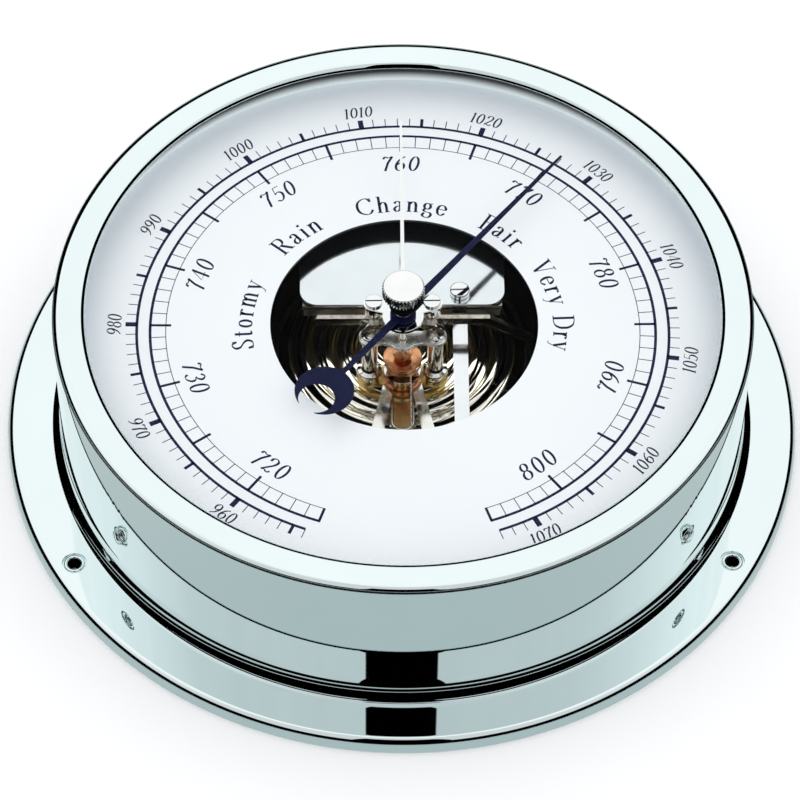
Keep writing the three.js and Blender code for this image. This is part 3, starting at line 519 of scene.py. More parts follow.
def make_case():
    # The wall sweeps in by two arcs with a step in slope, so that the foot mirrors little of the pale paper.
    sweep = 8.0
    foot = [(66.28, FLANGE_TOP, 0.45), (66.28, 3.95), *arc(72.41, 9.11, sweep, 220, 202),
            *arc(WALL_R + sweep, 8.241, sweep, 195, 180)]
    shell = lathe("case_shell", rounded([
        (63.1, 0), (FLANGE_R, 0, 0.3), (FLANGE_R, FLANGE_TOP, 1.5), *foot, (WALL_R, 35.5, 0.15), (63.9, 35.5),
        (63.9, 32.6), (63.1, 32.6)], 6.0))
    cutters = []
    for x, y in FLANGE_HOLES:
        cutter = hole_cutter(BORE_R, 2.3, FLANGE_TOP)
        cutter.data.transform(Matrix.Translation((x, y, 0)))
        cutters.append(cutter)
    for clock in SIDE_CLOCKS:
        cutters.append(radial(hole_cutter(BORE_R, 2.1, WALL_R - 0.08, 60), clock, SIDE_Z))
    place(combine(shell, cutters), "case_shell", CHROME)

    # Rounded inner lip, wide outer brow and small outer edge.
    lip, brow, edge = 1.4, 2.2, 0.55
    bezel = lathe("bezel_ring", [
        (58.56, 35.6), *arc(59.86, BEZEL_TOP - lip, lip, 158, 90),
        *arc(63.147, BEZEL_TOP - brow, brow, 90, 56), *arc(64.07, 35.668, edge, 50, 0),
        (63.8, 35.668), (63.8, 32.7), (62.9, 32.7), (62.9, 34.3), (61.3, 34.3), (61.3, 35.6)])
    place(bezel, "bezel_ring", CHROME)

    glass = lathe("glass", rounded([
        (1.1, 34.3, 0.05), (61.1, 34.3, 0.15), (61.1, 35.5, 0.15), (1.1, 35.5, 0.05)]))
    place(glass, "glass", GLASS)
    gasket = lathe("gasket", rounded([
        (60.4, 34.0, 0.1), (DIAL_R, 34.0, 0.1), (DIAL_R, 34.25, 0.1), (60.4, 34.25, 0.1)]))
    place(gasket, "glass_gasket", RUBBER)
    ring = lathe("ring", rounded([(61.35, 29.2, 0.1), (62.8, 29.2), (62.8, 33.95, 0.2), (61.35, 33.95, 0.3)]))
    place(ring, "dial_ring", RING)
    dial = lathe("dial", rounded([
        (0, DIAL_BOTTOM), (DIAL_R, DIAL_BOTTOM, 0.1), (DIAL_R, DIAL_TOP, 0.1), (0, DIAL_TOP)]))
    place(combine(dial, [upright(0.25, 1.0, 24.9, 27, 31, FINE)]), "dial", DIAL)

    cover = lathe("rear_cover", rounded([
        (0, 1.0), (62.8, 1.0, 0.5), (62.8, 28.4, 0.2), (61.8, 28.4, 0.2), (61.8, 2.2, 0.6), (0, 2.2)]))
    cutters = [upright(0, 38, 2.9, -1, 4)]
    cutters += [upright(x, y, 1.4, -1, 4) for x, y in BASE_FIXINGS]
    cutters += [radial(upright(0, 0, 0.9, 60, 64), clock, SIDE_Z) for clock in SIDE_CLOCKS]
    place(combine(cover, cutters), "rear_cover", BLACK)

    for i, clock in enumerate(SIDE_CLOCKS):
        head = lathe("head", rounded([
            (0, -2.2), (0.8, -2.2, 0.1), (0.8, 0), (1.15, 0, 0.05), (1.15, 1.3, 0.25), (0, 1.3)]), SMALL)
        socket = lathe("socket", [(0, 0.7), (0.55, 0.7), (0.55, 2), (0, 2)], 6)
        combine(head, [socket])
        head.data.transform(Matrix.Translation((0, 0, 62.95)))
        place(radial(head, clock, SIDE_Z), f"case_screw_{i + 1}", CHROME_SMALL)


# ---- movement ------------------------------------------------------------------------------------

CAPSULE_Y = 9.5
CAPSULE_PITCH = 4.4
CROWN_R = 5.4
CROWN_Z = 11.0
WAVE_SPAN = 16.2
ROCKER_Y = -25.3
ROCKER_Z = 11.2
PILLARS = [(-6.15, 0.5), (6.15, 0.5)]
POSTS = [(-5.4, 3.1), (5.4, 3.1)]


def make_base():
    base = lathe("base", rounded([(0, 4.4), (47, 4.4, 0.3), (47, 5.9, 0.3), (0, 5.9)]))
    cutters = [upright(0, 38, 1.7, 0, 9)] + [upright(x, y, 1.4, 0, 9) for x, y in BASE_FIXINGS]
    place(combine(base, cutters), "base_plate", BLACK)
    for i, (x, y) in enumerate(BASE_FIXINGS):
        spacer = lathe("spacer", rounded([(1.4, 2.3, 0.1), (3, 2.3, 0.1), (3, 4.3, 0.1), (1.4, 4.3, 0.1)]),
                       SMALL, (x, y))
        place(spacer, f"base_spacer_{i + 1}", BRASS)
        screw(f"base_screw_{i + 1}", (x, y, 0.95), 2.4, 0.6, 1.2, 4.3, 0.3 + i, NICKEL, down=True)


def make_capsule():
    centre = (0, CAPSULE_Y)
    lower = lathe("lower", rounded([
        (0, 6.2), (21, 6.2, 0.6), (22.6, 7.8, 0.6), (24.5, 8.0, 0.1), (24.5, 8.65, 0.1), (0, 8.65)]),
        FINE, centre)
    place(lower, "capsule_lower", CHAMPAGNE)
    waves = []
    steps = 160
    for i in range(steps + 1):
        r = CROWN_R + WAVE_SPAN * i / steps
        crest = math.cos(2 * math.pi * (r - CROWN_R) / CAPSULE_PITCH)
        waves.append((r, CROWN_Z + 0.5 * math.tanh(1.8 * crest)))
    rim = rounded([(24.5, 8.75, 0.1), (24.5, 9.35, 0.15), (23.1, 9.6, 0.3)])
    upper = lathe("upper", [(CROWN_R, 8.75), *rim, *reversed(waves)], FINE, centre)
    place(upper, "capsule_upper", CHAMPAGNE, 50)
    boss = lathe("boss", rounded([(0, 10.2), (5, 10.2, 0.1), (5, 11.5, 0.3), (0, 11.5)]), MEDIUM, centre)
    place(boss, "capsule_boss", CHAMPAGNE)
    stud = lathe("stud", rounded([
        (0, 11.6), (2.4, 11.6, 0.1), (2.4, 12.2, 0.15), (1.2, 12.7, 0.3), (1.2, 21.2, 0.2), (0, 21.2)]),
        SMALL, centre)
    place(stud, "capsule_stud", NICKEL)


def make_spring():
    place(refined("spring_block", 0.2), "spring_block", BRASS)
    place(refined("spring_clamp", 0.15), "spring_clamp", NICKEL)
    for i, x in enumerate((-12, 12)):
        screw(f"clamp_screw_{i + 1}", (x, 38, 27.15), 1.8, 0.8, 0.9, 6, 0.6 - i, NICKEL)
    place(refined("spring_leaf", 0.1), "spring_leaf", STEEL)
    place(refined("lower_leaf", 0.06), "lower_leaf", BAR)
    place(refined("front_bar", 0.1), "front_bar", BAR)
    place(refined("bar_spacer", 0.1), "bar_spacer", BAR)
    place(refined("lever", 0.1), "lever", STRIP)
    screw("lever_screw", (10.8, 10.8, 25.8), 1.85, 1.1, 0.9, 4, 0.05, CHROME_SMALL)


def make_linkage():
    place(refined("link", 0.03), "link", NICKEL)
    shaft = lathe("shaft", rounded([(0, -9.4), (0.9, -9.4, 0.3), (0.9, 11.5, 0.3), (0, 11.5)]), SMALL)
    shaft.data.transform(Matrix.Rotation(math.pi / 2, 4, "Y"))
    shaft.data.transform(Matrix.Translation((0, ROCKER_Y, ROCKER_Z)))
    place(shaft, "rocking_shaft", NICKEL)
    place(refined("rocker_arm", 0.08), "rocker_arm", NICKEL)
    place(refined("crank", 0.08), "crank", NICKEL)
    place(make_chain(), "chain", NICKEL)


def make_chain():
    """Oval links along the drum's edge, every second one turned on its side."""
    x, z = 1.5, 20.7
    start, pitch = -24.1, 0.76
    links = []
    for i in range(32):
        y = start + pitch * i
        loop = []
        for k in range(17):
            angle = 2 * math.pi * k / 16
            along, aside = 0.47 * math.cos(angle), 0.11 * math.sin(angle)
            loop.append((x, y + along, z + aside) if i % 2 else (x + aside, y + along, z))
        links.append(tube("loop", loop, 0.065, 8))
    return join("chain", links)


def make_bracket():
    disc = rounded([(0.9, 15.6), (3.6, 15.6, 0.1), (3.6, 16.4, 0.15), (0.9, 16.4, 0.08)])
    parts = [lathe("disc", disc, MEDIUM)]
    for side in (-1, 1):
        root, tip = Vector((side * 2.2, -1.6)), Vector((side * 7.2, -26.4))
        across = (tip - root).normalized().orthogonal()
        leg = [root + across * 0.95, root - across * 0.95, tip - across * 1.45, tip + across * 1.45]
        parts.append(plate("leg", [tuple(p) for p in leg], 15.6, 16.4, 0.15))
        ear_x = side * 8.1
        ear = box_piece("ear", (ear_x - 0.5, -27.2, 9.4), (ear_x + 0.5, -23.4, 16.4), 0.12)
        bore = lathe("bore", [(0, -3), (1.05, -3), (1.05, 3), (0, 3)], SMALL)
        bore.data.transform(Matrix.Rotation(math.pi / 2, 4, "Y"))
        bore.data.transform(Matrix.Translation((ear_x, ROCKER_Y, ROCKER_Z)))
        parts.append(combine(ear, [bore]))
    place(join("rocker_bracket", parts), "rocker_bracket", NICKEL)
    place(make_wire(), "guard_wire", NICKEL)


def make_wire():
    """Wire loop between the legs: two straight sides joined by a cubic bend."""
    half, z = 2.0, 14.8
    bend = [(-half, -3.95 - 0.6 * i, z) for i in range(12)]
    for i in range(1, 16):
        t = i / 16
        x = -half * ((1 - t) ** 3 + 3 * (1 - t) ** 2 * t) + half * (3 * (1 - t) * t ** 2 + t ** 3)
        y = -11.2 - 2.6 * 3 * t * (1 - t)
        bend.append((x, y, z))
    bend += [(half, -10.55 + 0.6 * i, z) for i in range(12)]
    return tube("guard_wire", bend, 0.25)


def make_carrier():
    outline = arc(6.2, 0.9, 2.5, -90, 90, 24)
    outline += [(-x, y) for x, y in reversed(outline)]
    outline += [(-2.2, -1.6), (-2.2, -20), (2.2, -20), (2.2, -1.6)]
    head = plate("head", outline, 12.6, 13.6, 0.12)
    foot = box_piece("foot", (-3.2, -20, 6.0), (3.2, -17.6, 13.6), 0.2)
    place(join("carrier_tongue", [head, foot]), "carrier_tongue", BRASS)
    bearing = lathe("bearing", rounded([
        (0.7, 13.7), (3.3, 13.7, 0.3), (3.3, 15.5, 0.4), (0.7, 15.5, 0.2)]), MEDIUM)
    place(bearing, "foot_bearing", COPPER)


def make_bridges():
    for side, turn, (x, y) in zip(("left", "right"), (0.5, 2.0), PILLARS):
        pillar = lathe("pillar", rounded([
            (0, 13.7), (1.8, 13.7, 0.1), (1.8, 15.2), (2.4, 15.2, 0.1), (2.4, 15.9, 0.2), (1.5, 16.2, 0.2),
            (1.5, 24.8, 0.15), (1.0, 24.8), (1.0, 23.2), (0, 23.2)]), SMALL, (x, y))
        place(pillar, f"pillar_{side}", NICKEL)
        screw(f"lower_bridge_screw_{side}", (x, y, 25.75), 1.7, 0.75, 0.9, 2.35, turn, CHROME_SMALL)
    shapes = [((0, 0), 2.6)] + [(ear, 2.1) for ear in PILLARS] + [(ear, 1.92, 1.2) for ear in PILLARS]
    bridge = plate("lower_bridge", star(shapes), 24.9, 25.7, 0.12)
    cutters = [upright(x, y, 1.0, 22, 28) for x, y in PILLARS] + [upright(0, 0, 0.8, 22, 28)]
    place(combine(bridge, cutters), "lower_bridge", MATT)

    place(refined("cross_arm", 0.12, 30), "cross_arm", ARM)
    for side, (x, y) in zip(("left", "right"), POSTS):
        post = lathe("post", rounded([(0.9, 29.4), (1.4, 29.4, 0.1), (1.4, 31.65, 0.1), (0.9, 31.65)]),
                     SMALL, (x, y))
        place(post, f"bridge_post_{side}", NICKEL)
        screw(f"upper_bridge_screw_{side}", (x, y, 32.55), 1.6, 0.45, 0.8, 4.4, 0.02, CHROME_SMALL)
    shapes = [((0, 0), 3.8)] + [(ear, 1.95) for ear in POSTS] + [(ear, 1.76, 1.1) for ear in POSTS]
    bridge = plate("upper_bridge", star(shapes), 31.7, 32.5, 0.12)
    cutters = [upright(x, y, 0.9, 30, 34) for x, y in POSTS] + [upright(0, 0, 0.8, 30, 34)]
    place(combine(bridge, cutters), "upper_bridge", CHROME_SMALL)


# ---- arbor, hands and knob -----------------------------------------------------------------------

POINTER_CLOCK = 38.7


def make_arbor():
    arbor = lathe("arbor", rounded([(0, 14.1), (0.6, 14.1, 0.2), (0.6, 32.9, 0.1), (0, 32.9)]), SMALL)
    place(arbor, "arbor", NICKEL)
    drum = lathe("drum", rounded([
        (0.65, 19.7), (3.65, 19.7, 0.08), (3.65, 20.15, 0.12), (1.1, 20.3, 0.1), (1.1, 21.5),
        (1.9, 21.5, 0.06), (1.9, 21.8, 0.06), (0.65, 21.8)]), MEDIUM)
    place(drum, "chain_drum", COPPER)
    hub = lathe("hub", rounded([
        (0.65, 32.75), (2.4, 32.75, 0.08), (2.4, 33.2, 0.08), (1.2, 33.2), (1.2, 33.7, 0.08), (0, 33.7),
        (0, 32.95), (0.65, 32.95)]), MEDIUM)
    place(hub, "pointer_hub", NAVY)
    inner, outer = [], []
    coils, per_coil, strip = 4, 60, 0.18
    steps = coils * per_coil
    for i in range(steps + 1):
        angle = 2 * math.pi * i / per_coil
        r = 1.0 + 2.4 * i / steps
        inner.append((r * math.cos(angle), r * math.sin(angle)))
        outer.append(((r + strip) * math.cos(angle), (r + strip) * math.sin(angle)))
    place(plate("hairspring", inner + outer[::-1], 18.3, 18.8, 0), "hairspring", COPPER)


def make_hands():
    tip, centre_r, outer_r, cut_r, shift = 48.8, 23.2, 5.45, 3.35, 2.3
    under, over = 33.25, 33.5
    tail = outer_r - 0.4 - centre_r
    outline = star([((0, 0), 2.2), ((0, tip), 0.8, 0.28), ((0, tail), 0.8, 0.5)], 0.25)
    blade = plate("blade", outline, under, over, 0.06)
    moon = plate("moon", circle((0, -centre_r), outer_r, 128), under, over, 0)
    bite = upright(0, -centre_r - shift, cut_r, 32, 35, 128)
    combine(moon, [bite])
    combine(blade, [moon], "UNION")
    combine(blade, [upright(0, 0, 1.25, 32, 35)])
    blade.data.transform(Matrix.Rotation(-math.radians(POINTER_CLOCK), 4, "Z"))
    place(blade, "pointer", NAVY)
    hand = plate("hand", star([((0, 0), 1.7), ((0, 46.5), 0.42, 0.22)], 0.25), 33.92, 34.12, 0.05)
    combine(hand, [upright(0, 0, 0.75, 33, 35)])
    place(hand, "set_hand", CHROME_SMALL)


def make_knob():
    teeth = 38
    outline = []
    for i in range(teeth):
        for share, radius in ((0.0, 3.45), (0.12, 3.8), (0.25, 3.93), (0.42, 3.93), (0.55, 3.8), (0.67, 3.45),
                              (0.83, 3.38)):
            angle = 2 * math.pi * (i + share) / teeth
            outline.append((radius * math.cos(angle), radius * math.sin(angle)))
    grip = plate("grip", outline, 38.9, 41.05, 0)
    cap = lathe("cap", rounded([(0, 40.5), (3.74, 40.5), (3.74, 41.2, 0.15), (0, 41.2)]), MEDIUM)
    spindle = lathe("spindle", rounded([
        (0, 33.92), (0.7, 33.92), (0.7, 34.17), (0.9, 34.17), (0.9, 35.95), (1.9, 35.95, 0.1), (1.9, 39.2),
        (0, 39.2)]), SMALL)
    place(join("knob", [grip, cap, spindle]), "knob", CHROME_SMALL)
    washer = lathe("washer", rounded([
        (1.1, 35.6), (2.6, 35.6, 0.05), (2.6, 35.85, 0.1), (1.1, 35.85)]), SMALL)
    place(washer, "knob_washer", BLACK)


# ---- dial printing -------------------------------------------------------------------------------

PRINT_BOTTOM = 29.08
PRINT_TOP = 29.115

# Strokes that several letters share, as (pen, points) on a body of height 1.
CAPITAL_STEM = ("thick", [(0.2, 0.98), (0.2, 0.02)])
STEM = ("thick", [(0.15, 0.62), (0.15, 0.02)])
HEAD_SERIF = ("thin", [(0.03, 0.605), (0.15, 0.605)])
FOOT_SERIF = ("thin", [(0.04, 0.015), (0.27, 0.015)])
ARCH = ("curve", [(0.15, 0.44), (0.28, 0.61), (0.42, 0.58), (0.47, 0.4)])
ARCH_STEM = ("thick", [(0.47, 0.46), (0.47, 0.02)])
ARCH_SERIF = ("thin", [(0.37, 0.015), (0.6, 0.015)])

# Each character: its advance, then its strokes. A pen is "curve", "thin" or "thick", or "oval" with a
# centre and radii.
GLYPHS = {
    "0": (0.62, [("oval", (0.31, 0.5), (0.21, 0.48))]),
    "1": (0.4, [CAPITAL_STEM, ("thin", [(0.2, 0.98), (0.06, 0.84)]), ("thin", [(0.08, 0.02),
         (0.32, 0.02)])]),
    "2": (0.6, [("curve", [(0.12, 0.72), (0.14, 0.9), (0.3, 0.98), (0.48, 0.86), (0.46, 0.62),
         (0.26, 0.32), (0.07, 0.06)]), ("curve", [(0.07, 0.06), (0.24, 0.12), (0.4, 0.03),
         (0.54, 0.16)])]),
    "3": (0.56, [("curve", [(0.1, 0.82), (0.26, 0.98), (0.44, 0.82), (0.38, 0.62), (0.24, 0.54)]),
         ("curve", [(0.24, 0.54), (0.44, 0.46), (0.5, 0.26), (0.36, 0.04), (0.18, 0.02), (0.06, 0.16)])]),
    "4": (0.62, [("thin", [(0.42, 0.98), (0.04, 0.3), (0.58, 0.3)]), ("thick", [(0.42, 0.98),
         (0.42, 0.0)])]),
    "5": (0.56, [("thin", [(0.16, 0.97), (0.48, 0.97)]), ("thin", [(0.16, 0.97), (0.12, 0.54)]),
         ("curve", [(0.12, 0.54), (0.3, 0.62), (0.48, 0.46), (0.46, 0.18), (0.28, 0.01), (0.07, 0.12)])]),
    "6": (0.6, [("curve", [(0.5, 0.96), (0.26, 0.78), (0.1, 0.44), (0.14, 0.12), (0.32, 0.01),
         (0.5, 0.2), (0.48, 0.44), (0.32, 0.55), (0.12, 0.38)])]),
    "7": (0.56, [("curve", [(0.06, 0.82), (0.14, 0.97), (0.32, 0.9), (0.52, 0.98)]),
         ("thick", [(0.52, 0.98), (0.32, 0.54), (0.22, 0.0)])]),
    "8": (0.6, [("oval", (0.3, 0.76), (0.17, 0.22)), ("oval", (0.3, 0.27), (0.21, 0.26))]),
    "9": (0.6, [("curve", [(0.1, 0.04), (0.34, 0.22), (0.5, 0.56), (0.46, 0.88), (0.28, 0.99),
         (0.1, 0.8), (0.12, 0.56), (0.28, 0.45), (0.48, 0.62)])]),
    "C": (0.86, [("curve", [(0.76, 0.76), (0.66, 0.94), (0.46, 0.99), (0.18, 0.82), (0.09, 0.5),
         (0.18, 0.18), (0.46, 0.01), (0.66, 0.06), (0.79, 0.24)]), ("thin", [(0.77, 0.98),
         (0.77, 0.74)])]),
    "S": (0.62, [("curve", [(0.48, 0.78), (0.4, 0.94), (0.27, 0.99), (0.11, 0.84), (0.16, 0.62),
         (0.4, 0.44), (0.52, 0.26), (0.44, 0.06), (0.27, 0.01), (0.14, 0.06), (0.07, 0.24)]),
         ("thin", [(0.49, 0.99), (0.49, 0.76)]), ("thin", [(0.07, 0.01), (0.07, 0.26)])]),
    "R": (0.8, [CAPITAL_STEM, ("thin", [(0.05, 0.985), (0.36, 0.985)]), ("thin", [(0.05, 0.015),
         (0.35, 0.015)]), ("curve", [(0.34, 0.985), (0.54, 0.94), (0.62, 0.75), (0.52, 0.56),
         (0.22, 0.52)]), ("thick", [(0.4, 0.52), (0.58, 0.2), (0.68, 0.03)]), ("thin", [(0.66, 0.03),
         (0.8, 0.03)])]),
    "F": (0.66, [CAPITAL_STEM, ("thin", [(0.05, 0.985), (0.58, 0.985)]), ("thin", [(0.05, 0.015),
         (0.36, 0.015)]), ("thin", [(0.2, 0.53), (0.44, 0.53)]), ("thin", [(0.58, 0.99), (0.6, 0.76)]),
         ("thin", [(0.44, 0.64), (0.44, 0.42)])]),
    "V": (0.78, [("thick", [(0.14, 0.98), (0.4, 0.02)]), ("thin", [(0.4, 0.02), (0.66, 0.98)]),
         ("thin", [(0.0, 0.985), (0.28, 0.985)]), ("thin", [(0.54, 0.985), (0.78, 0.985)])]),
    "D": (0.86, [CAPITAL_STEM, ("thin", [(0.05, 0.985), (0.36, 0.985)]), ("thin", [(0.05, 0.015),
         (0.36, 0.015)]), ("curve", [(0.34, 0.985), (0.6, 0.92), (0.76, 0.7), (0.78, 0.5), (0.76, 0.3),
         (0.6, 0.08), (0.34, 0.015)])]),
    "a": (0.52, [("curve", [(0.1, 0.5), (0.16, 0.61), (0.28, 0.63), (0.37, 0.52), (0.37, 0.3)]),
         ("thick", [(0.37, 0.4), (0.37, 0.1)]), ("curve", [(0.37, 0.36), (0.2, 0.32), (0.09, 0.18),
         (0.16, 0.03), (0.28, 0.05), (0.37, 0.16)]), ("thin", [(0.37, 0.1), (0.42, 0.02), (0.5, 0.06)])]),
    "e": (0.52, [("curve", [(0.09, 0.37), (0.45, 0.37), (0.42, 0.54), (0.28, 0.63), (0.13, 0.54),
         (0.08, 0.32), (0.15, 0.08), (0.3, 0.01), (0.46, 0.16)])]),
    "g": (0.54, [("oval", (0.25, 0.43), (0.15, 0.18)), ("thin", [(0.36, 0.57), (0.42, 0.62),
         (0.5, 0.6)]), ("curve", [(0.16, 0.28), (0.1, 0.16), (0.2, 0.08), (0.4, 0.05), (0.47, -0.1),
         (0.36, -0.25), (0.18, -0.25), (0.07, -0.14), (0.14, 0.02)])]),
    "h": (0.64, [("thick", [(0.15, 1.0), (0.15, 0.02)]), ("thin", [(0.03, 0.985), (0.16, 0.985)]),
         FOOT_SERIF, ARCH, ARCH_STEM, ARCH_SERIF]),
    "i": (0.32, [("thick", [(0.16, 0.62), (0.16, 0.02)]), ("thin", [(0.04, 0.605), (0.16, 0.605)]),
         ("thin", [(0.05, 0.015), (0.28, 0.015)]), ("thick", [(0.15, 0.92), (0.15, 0.8)])]),
    "m": (0.94, [STEM, HEAD_SERIF, FOOT_SERIF, ("curve", [(0.15, 0.44), (0.27, 0.61), (0.4, 0.58),
         (0.46, 0.4)]), ("thick", [(0.46, 0.46), (0.46, 0.02)]), ("thin", [(0.36, 0.015),
         (0.57, 0.015)]), ("curve", [(0.46, 0.44), (0.58, 0.61), (0.71, 0.58), (0.77, 0.4)]),
         ("thick", [(0.77, 0.46), (0.77, 0.02)]), ("thin", [(0.67, 0.015), (0.9, 0.015)])]),
    "n": (0.64, [STEM, HEAD_SERIF, FOOT_SERIF, ARCH, ARCH_STEM, ARCH_SERIF]),
    "o": (0.56, [("oval", (0.28, 0.32), (0.18, 0.3))]),
    "r": (0.44, [STEM, HEAD_SERIF, ("thin", [(0.04, 0.015), (0.29, 0.015)]), ("curve", [(0.15, 0.4),
         (0.26, 0.6), (0.4, 0.58)]), ("thick", [(0.38, 0.6), (0.38, 0.52)])]),
    "t": (0.38, [("thick", [(0.16, 0.82), (0.16, 0.14)]), ("curve", [(0.16, 0.16), (0.2, 0.02),
         (0.34, 0.08)]), ("thin", [(0.03, 0.6), (0.32, 0.6)])]),
    "y": (0.58, [("thick", [(0.12, 0.62), (0.31, 0.04)]), ("thin", [(0.48, 0.62), (0.31, 0.04),
         (0.2, -0.22), (0.08, -0.24)]), ("thin", [(0.01, 0.605), (0.23, 0.605)]),
         ("thin", [(0.38, 0.605), (0.57, 0.605)])]),
    " ": (0.34, []),
}
PEN_THICK = 0.13
PEN_THIN = 0.042


def smooth_path(points, count=7):
    """Catmull-Rom curve through points."""
    out = []
    for i in range(len(points) - 1):
        p0 = Vector(points[max(i - 1, 0)])
        p1, p2 = Vector(points[i]), Vector(points[i + 1])
        p3 = Vector(points[min(i + 2, len(points) - 1)])
        for k in range(count):
            t = k / count
            out.append(0.5 * (2 * p1 + (p2 - p0) * t + (2 * p0 - 5 * p1 + 4 * p2 - p3) * t * t
                              + (3 * p1 - p0 - 3 * p2 + p3) * t ** 3))
    out.append(Vector(points[-1]))
    return out


def ribbon(bm, left, right, closed=False):
    """A thin closed strip on the dial between two lines of [x, y] points."""
    rows = []
    for a, b in zip(left, right):
        row = [bm.verts.new((p[0], p[1], z)) for p, z in
               ((a, PRINT_BOTTOM), (b, PRINT_BOTTOM), (b, PRINT_TOP), (a, PRINT_TOP))]
        rows.append(row)
    pairs = list(zip(rows, rows[1:] + rows[:1])) if closed else list(zip(rows, rows[1:]))
    for low, high in pairs:
        for k in range(4):
            bm.faces.new((low[k], low[(k + 1) % 4], high[(k + 1) % 4], high[k]))
    if not closed:
        bm.faces.new(rows[0])
        bm.faces.new(rows[-1][::-1])


def stroke(bm, kind, points, to_dial, slant, closed=False):
    """One pen stroke: upright parts swell and level parts stay hairline."""
    path = smooth_path(points) if kind == "curve" and not closed else [Vector(p) for p in points]
    left, right = [], []
    last = len(path) - 1
    for i, point in enumerate(path):
        back = path[i - 1] if closed or i else point
        ahead = path[(i + 1) % len(path)] if closed or i < last else point
        run = (ahead - back).normalized()
        width = {"thin": PEN_THIN, "thick": PEN_THICK}.get(kind)
        if width is None:
            width = PEN_THIN + (PEN_THICK - PEN_THIN) * abs(run.y) ** 1.6
        side = Vector((-run.y, run.x)) * (width / 2)
        for line, edge in ((left, point + side), (right, point - side)):
            line.append(to_dial(edge.x + slant * (edge.y - 0.5), edge.y))
    ribbon(bm, left, right, closed)


def print_text(bm, text, clock, radius, height, slant=0.0, track=0.04):
    """Characters along an arc, upright at the top of the dial and turned over on its lower third."""
    over = abs(clock) > 90
    advances = [GLYPHS[c][0] + track for c in text]
    start = -sum(advances) / 2
    for c, advance in zip(text, advances):
        shift = (start + advance / 2) * height
        start += advance
        turn = math.radians(clock) + (-shift if over else shift) / radius
        outward = Vector((math.sin(turn), math.cos(turn)))
        across = Vector((math.cos(turn), -math.sin(turn)))
        if over:
            up, along = -outward, -across
        else:
            up, along = outward, across
        middle = outward * radius

        def to_dial(u, v, middle=middle, up=up, along=along, half=(advance - track) / 2):
            return middle + along * ((u - half) * height) + up * ((v - 0.5) * height)

        for item in GLYPHS[c][1]:
            if item[0] == "oval":
                (cx, cy), (rx, ry) = item[1], item[2]
                ring = [(cx + rx * math.cos(2 * math.pi * k / 40), cy + ry * math.sin(2 * math.pi * k / 40))
                        for k in range(40)]
                stroke(bm, "curve", ring, to_dial, slant, closed=True)
            else:
                stroke(bm, item[0], item[1], to_dial, slant)


def print_arc(bm, radius, width, first, last):
    steps = max(8, round(abs(last - first)))
    clocks = [first + (last - first) * i / steps for i in range(steps + 1)]
    outer, inner = radius + width / 2, radius - width / 2
    ribbon(bm, [at_clock(c, outer) for c in clocks], [at_clock(c, inner) for c in clocks])


def print_tick(bm, clock, low, high, width):
    x, y = at_clock(clock, 1)
    aside = Vector((y, -x)) * (width / 2)
    inner, outer = Vector((x, y)) * low, Vector((x, y)) * high
    ribbon(bm, [inner - aside, outer - aside], [inner + aside, outer + aside])


MMHG_ENDS = (715, 805)
HPA_ENDS = (954, 1073)
CELL_R = 44.0
MMHG_R = 46.9
HPA_R = 49.38
BOLD = 0.53
HAIR = 0.16


def from_mmhg(value):
    """Clock angle of a pressure in mm of mercury, with 760 at the top."""
    return (value - 760) * 3.573


def from_hpa(value):
    """Clock angle of a pressure in hPa."""
    return (value - 1013.25) * 2.68


def make_print():
    scales = bmesh.new()
    first, last = MMHG_ENDS
    print_arc(scales, CELL_R, 0.14, from_mmhg(first), from_mmhg(last))
    print_arc(scales, MMHG_R, BOLD, from_mmhg(first) - 0.28, from_mmhg(last) + 0.28)
    print_arc(scales, HPA_R, BOLD, from_hpa(HPA_ENDS[0]), from_hpa(HPA_ENDS[1]))
    for value in range(first, last + 1):
        clock = from_mmhg(value)
        if value in MMHG_ENDS:
            print_tick(scales, clock, CELL_R - 0.1, MMHG_R, 0.5)
        elif value % 5 == 0:
            print_tick(scales, clock, CELL_R - 1, MMHG_R, BOLD)
        else:
            print_tick(scales, clock, CELL_R, MMHG_R, HAIR)
    for value in range(HPA_ENDS[0], HPA_ENDS[1] + 1):
        width, end = (1.0, 51.5) if value % 10 == 0 else (0.6, 51.4) if value % 5 == 0 else (HAIR, 51.4)
        print_tick(scales, from_hpa(value), HPA_R, end, width)
    finish_print("print_scales", scales)

    figures = bmesh.new()
    for value in range(720, 801, 10):
        print_text(figures, str(value), from_mmhg(value), 40.0, 3.65, 0.14, 0.12)
    for value in range(960, 1071, 10):
        print_text(figures, str(value), from_hpa(value), 53.6, 2.6, 0.14)
    finish_print("print_figures", figures)

    words = bmesh.new()
    for word, clock in (("Stormy", -84), ("Rain", -42), ("Change", 0), ("Fair", 39.5), ("Very Dry", 80)):
        print_text(words, word, clock, 29.95, 4.0, 0.0, 0.14)
    finish_print("print_words", words)


def finish_print(name, bm):
    obj = to_object(name, bm)
    obj.data.transform(Matrix.Scale(MM, 4))
    obj.data.materials.append(INK)
    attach(obj, "case")


# ---- studio and camera ---------------------------------------------------------------------------

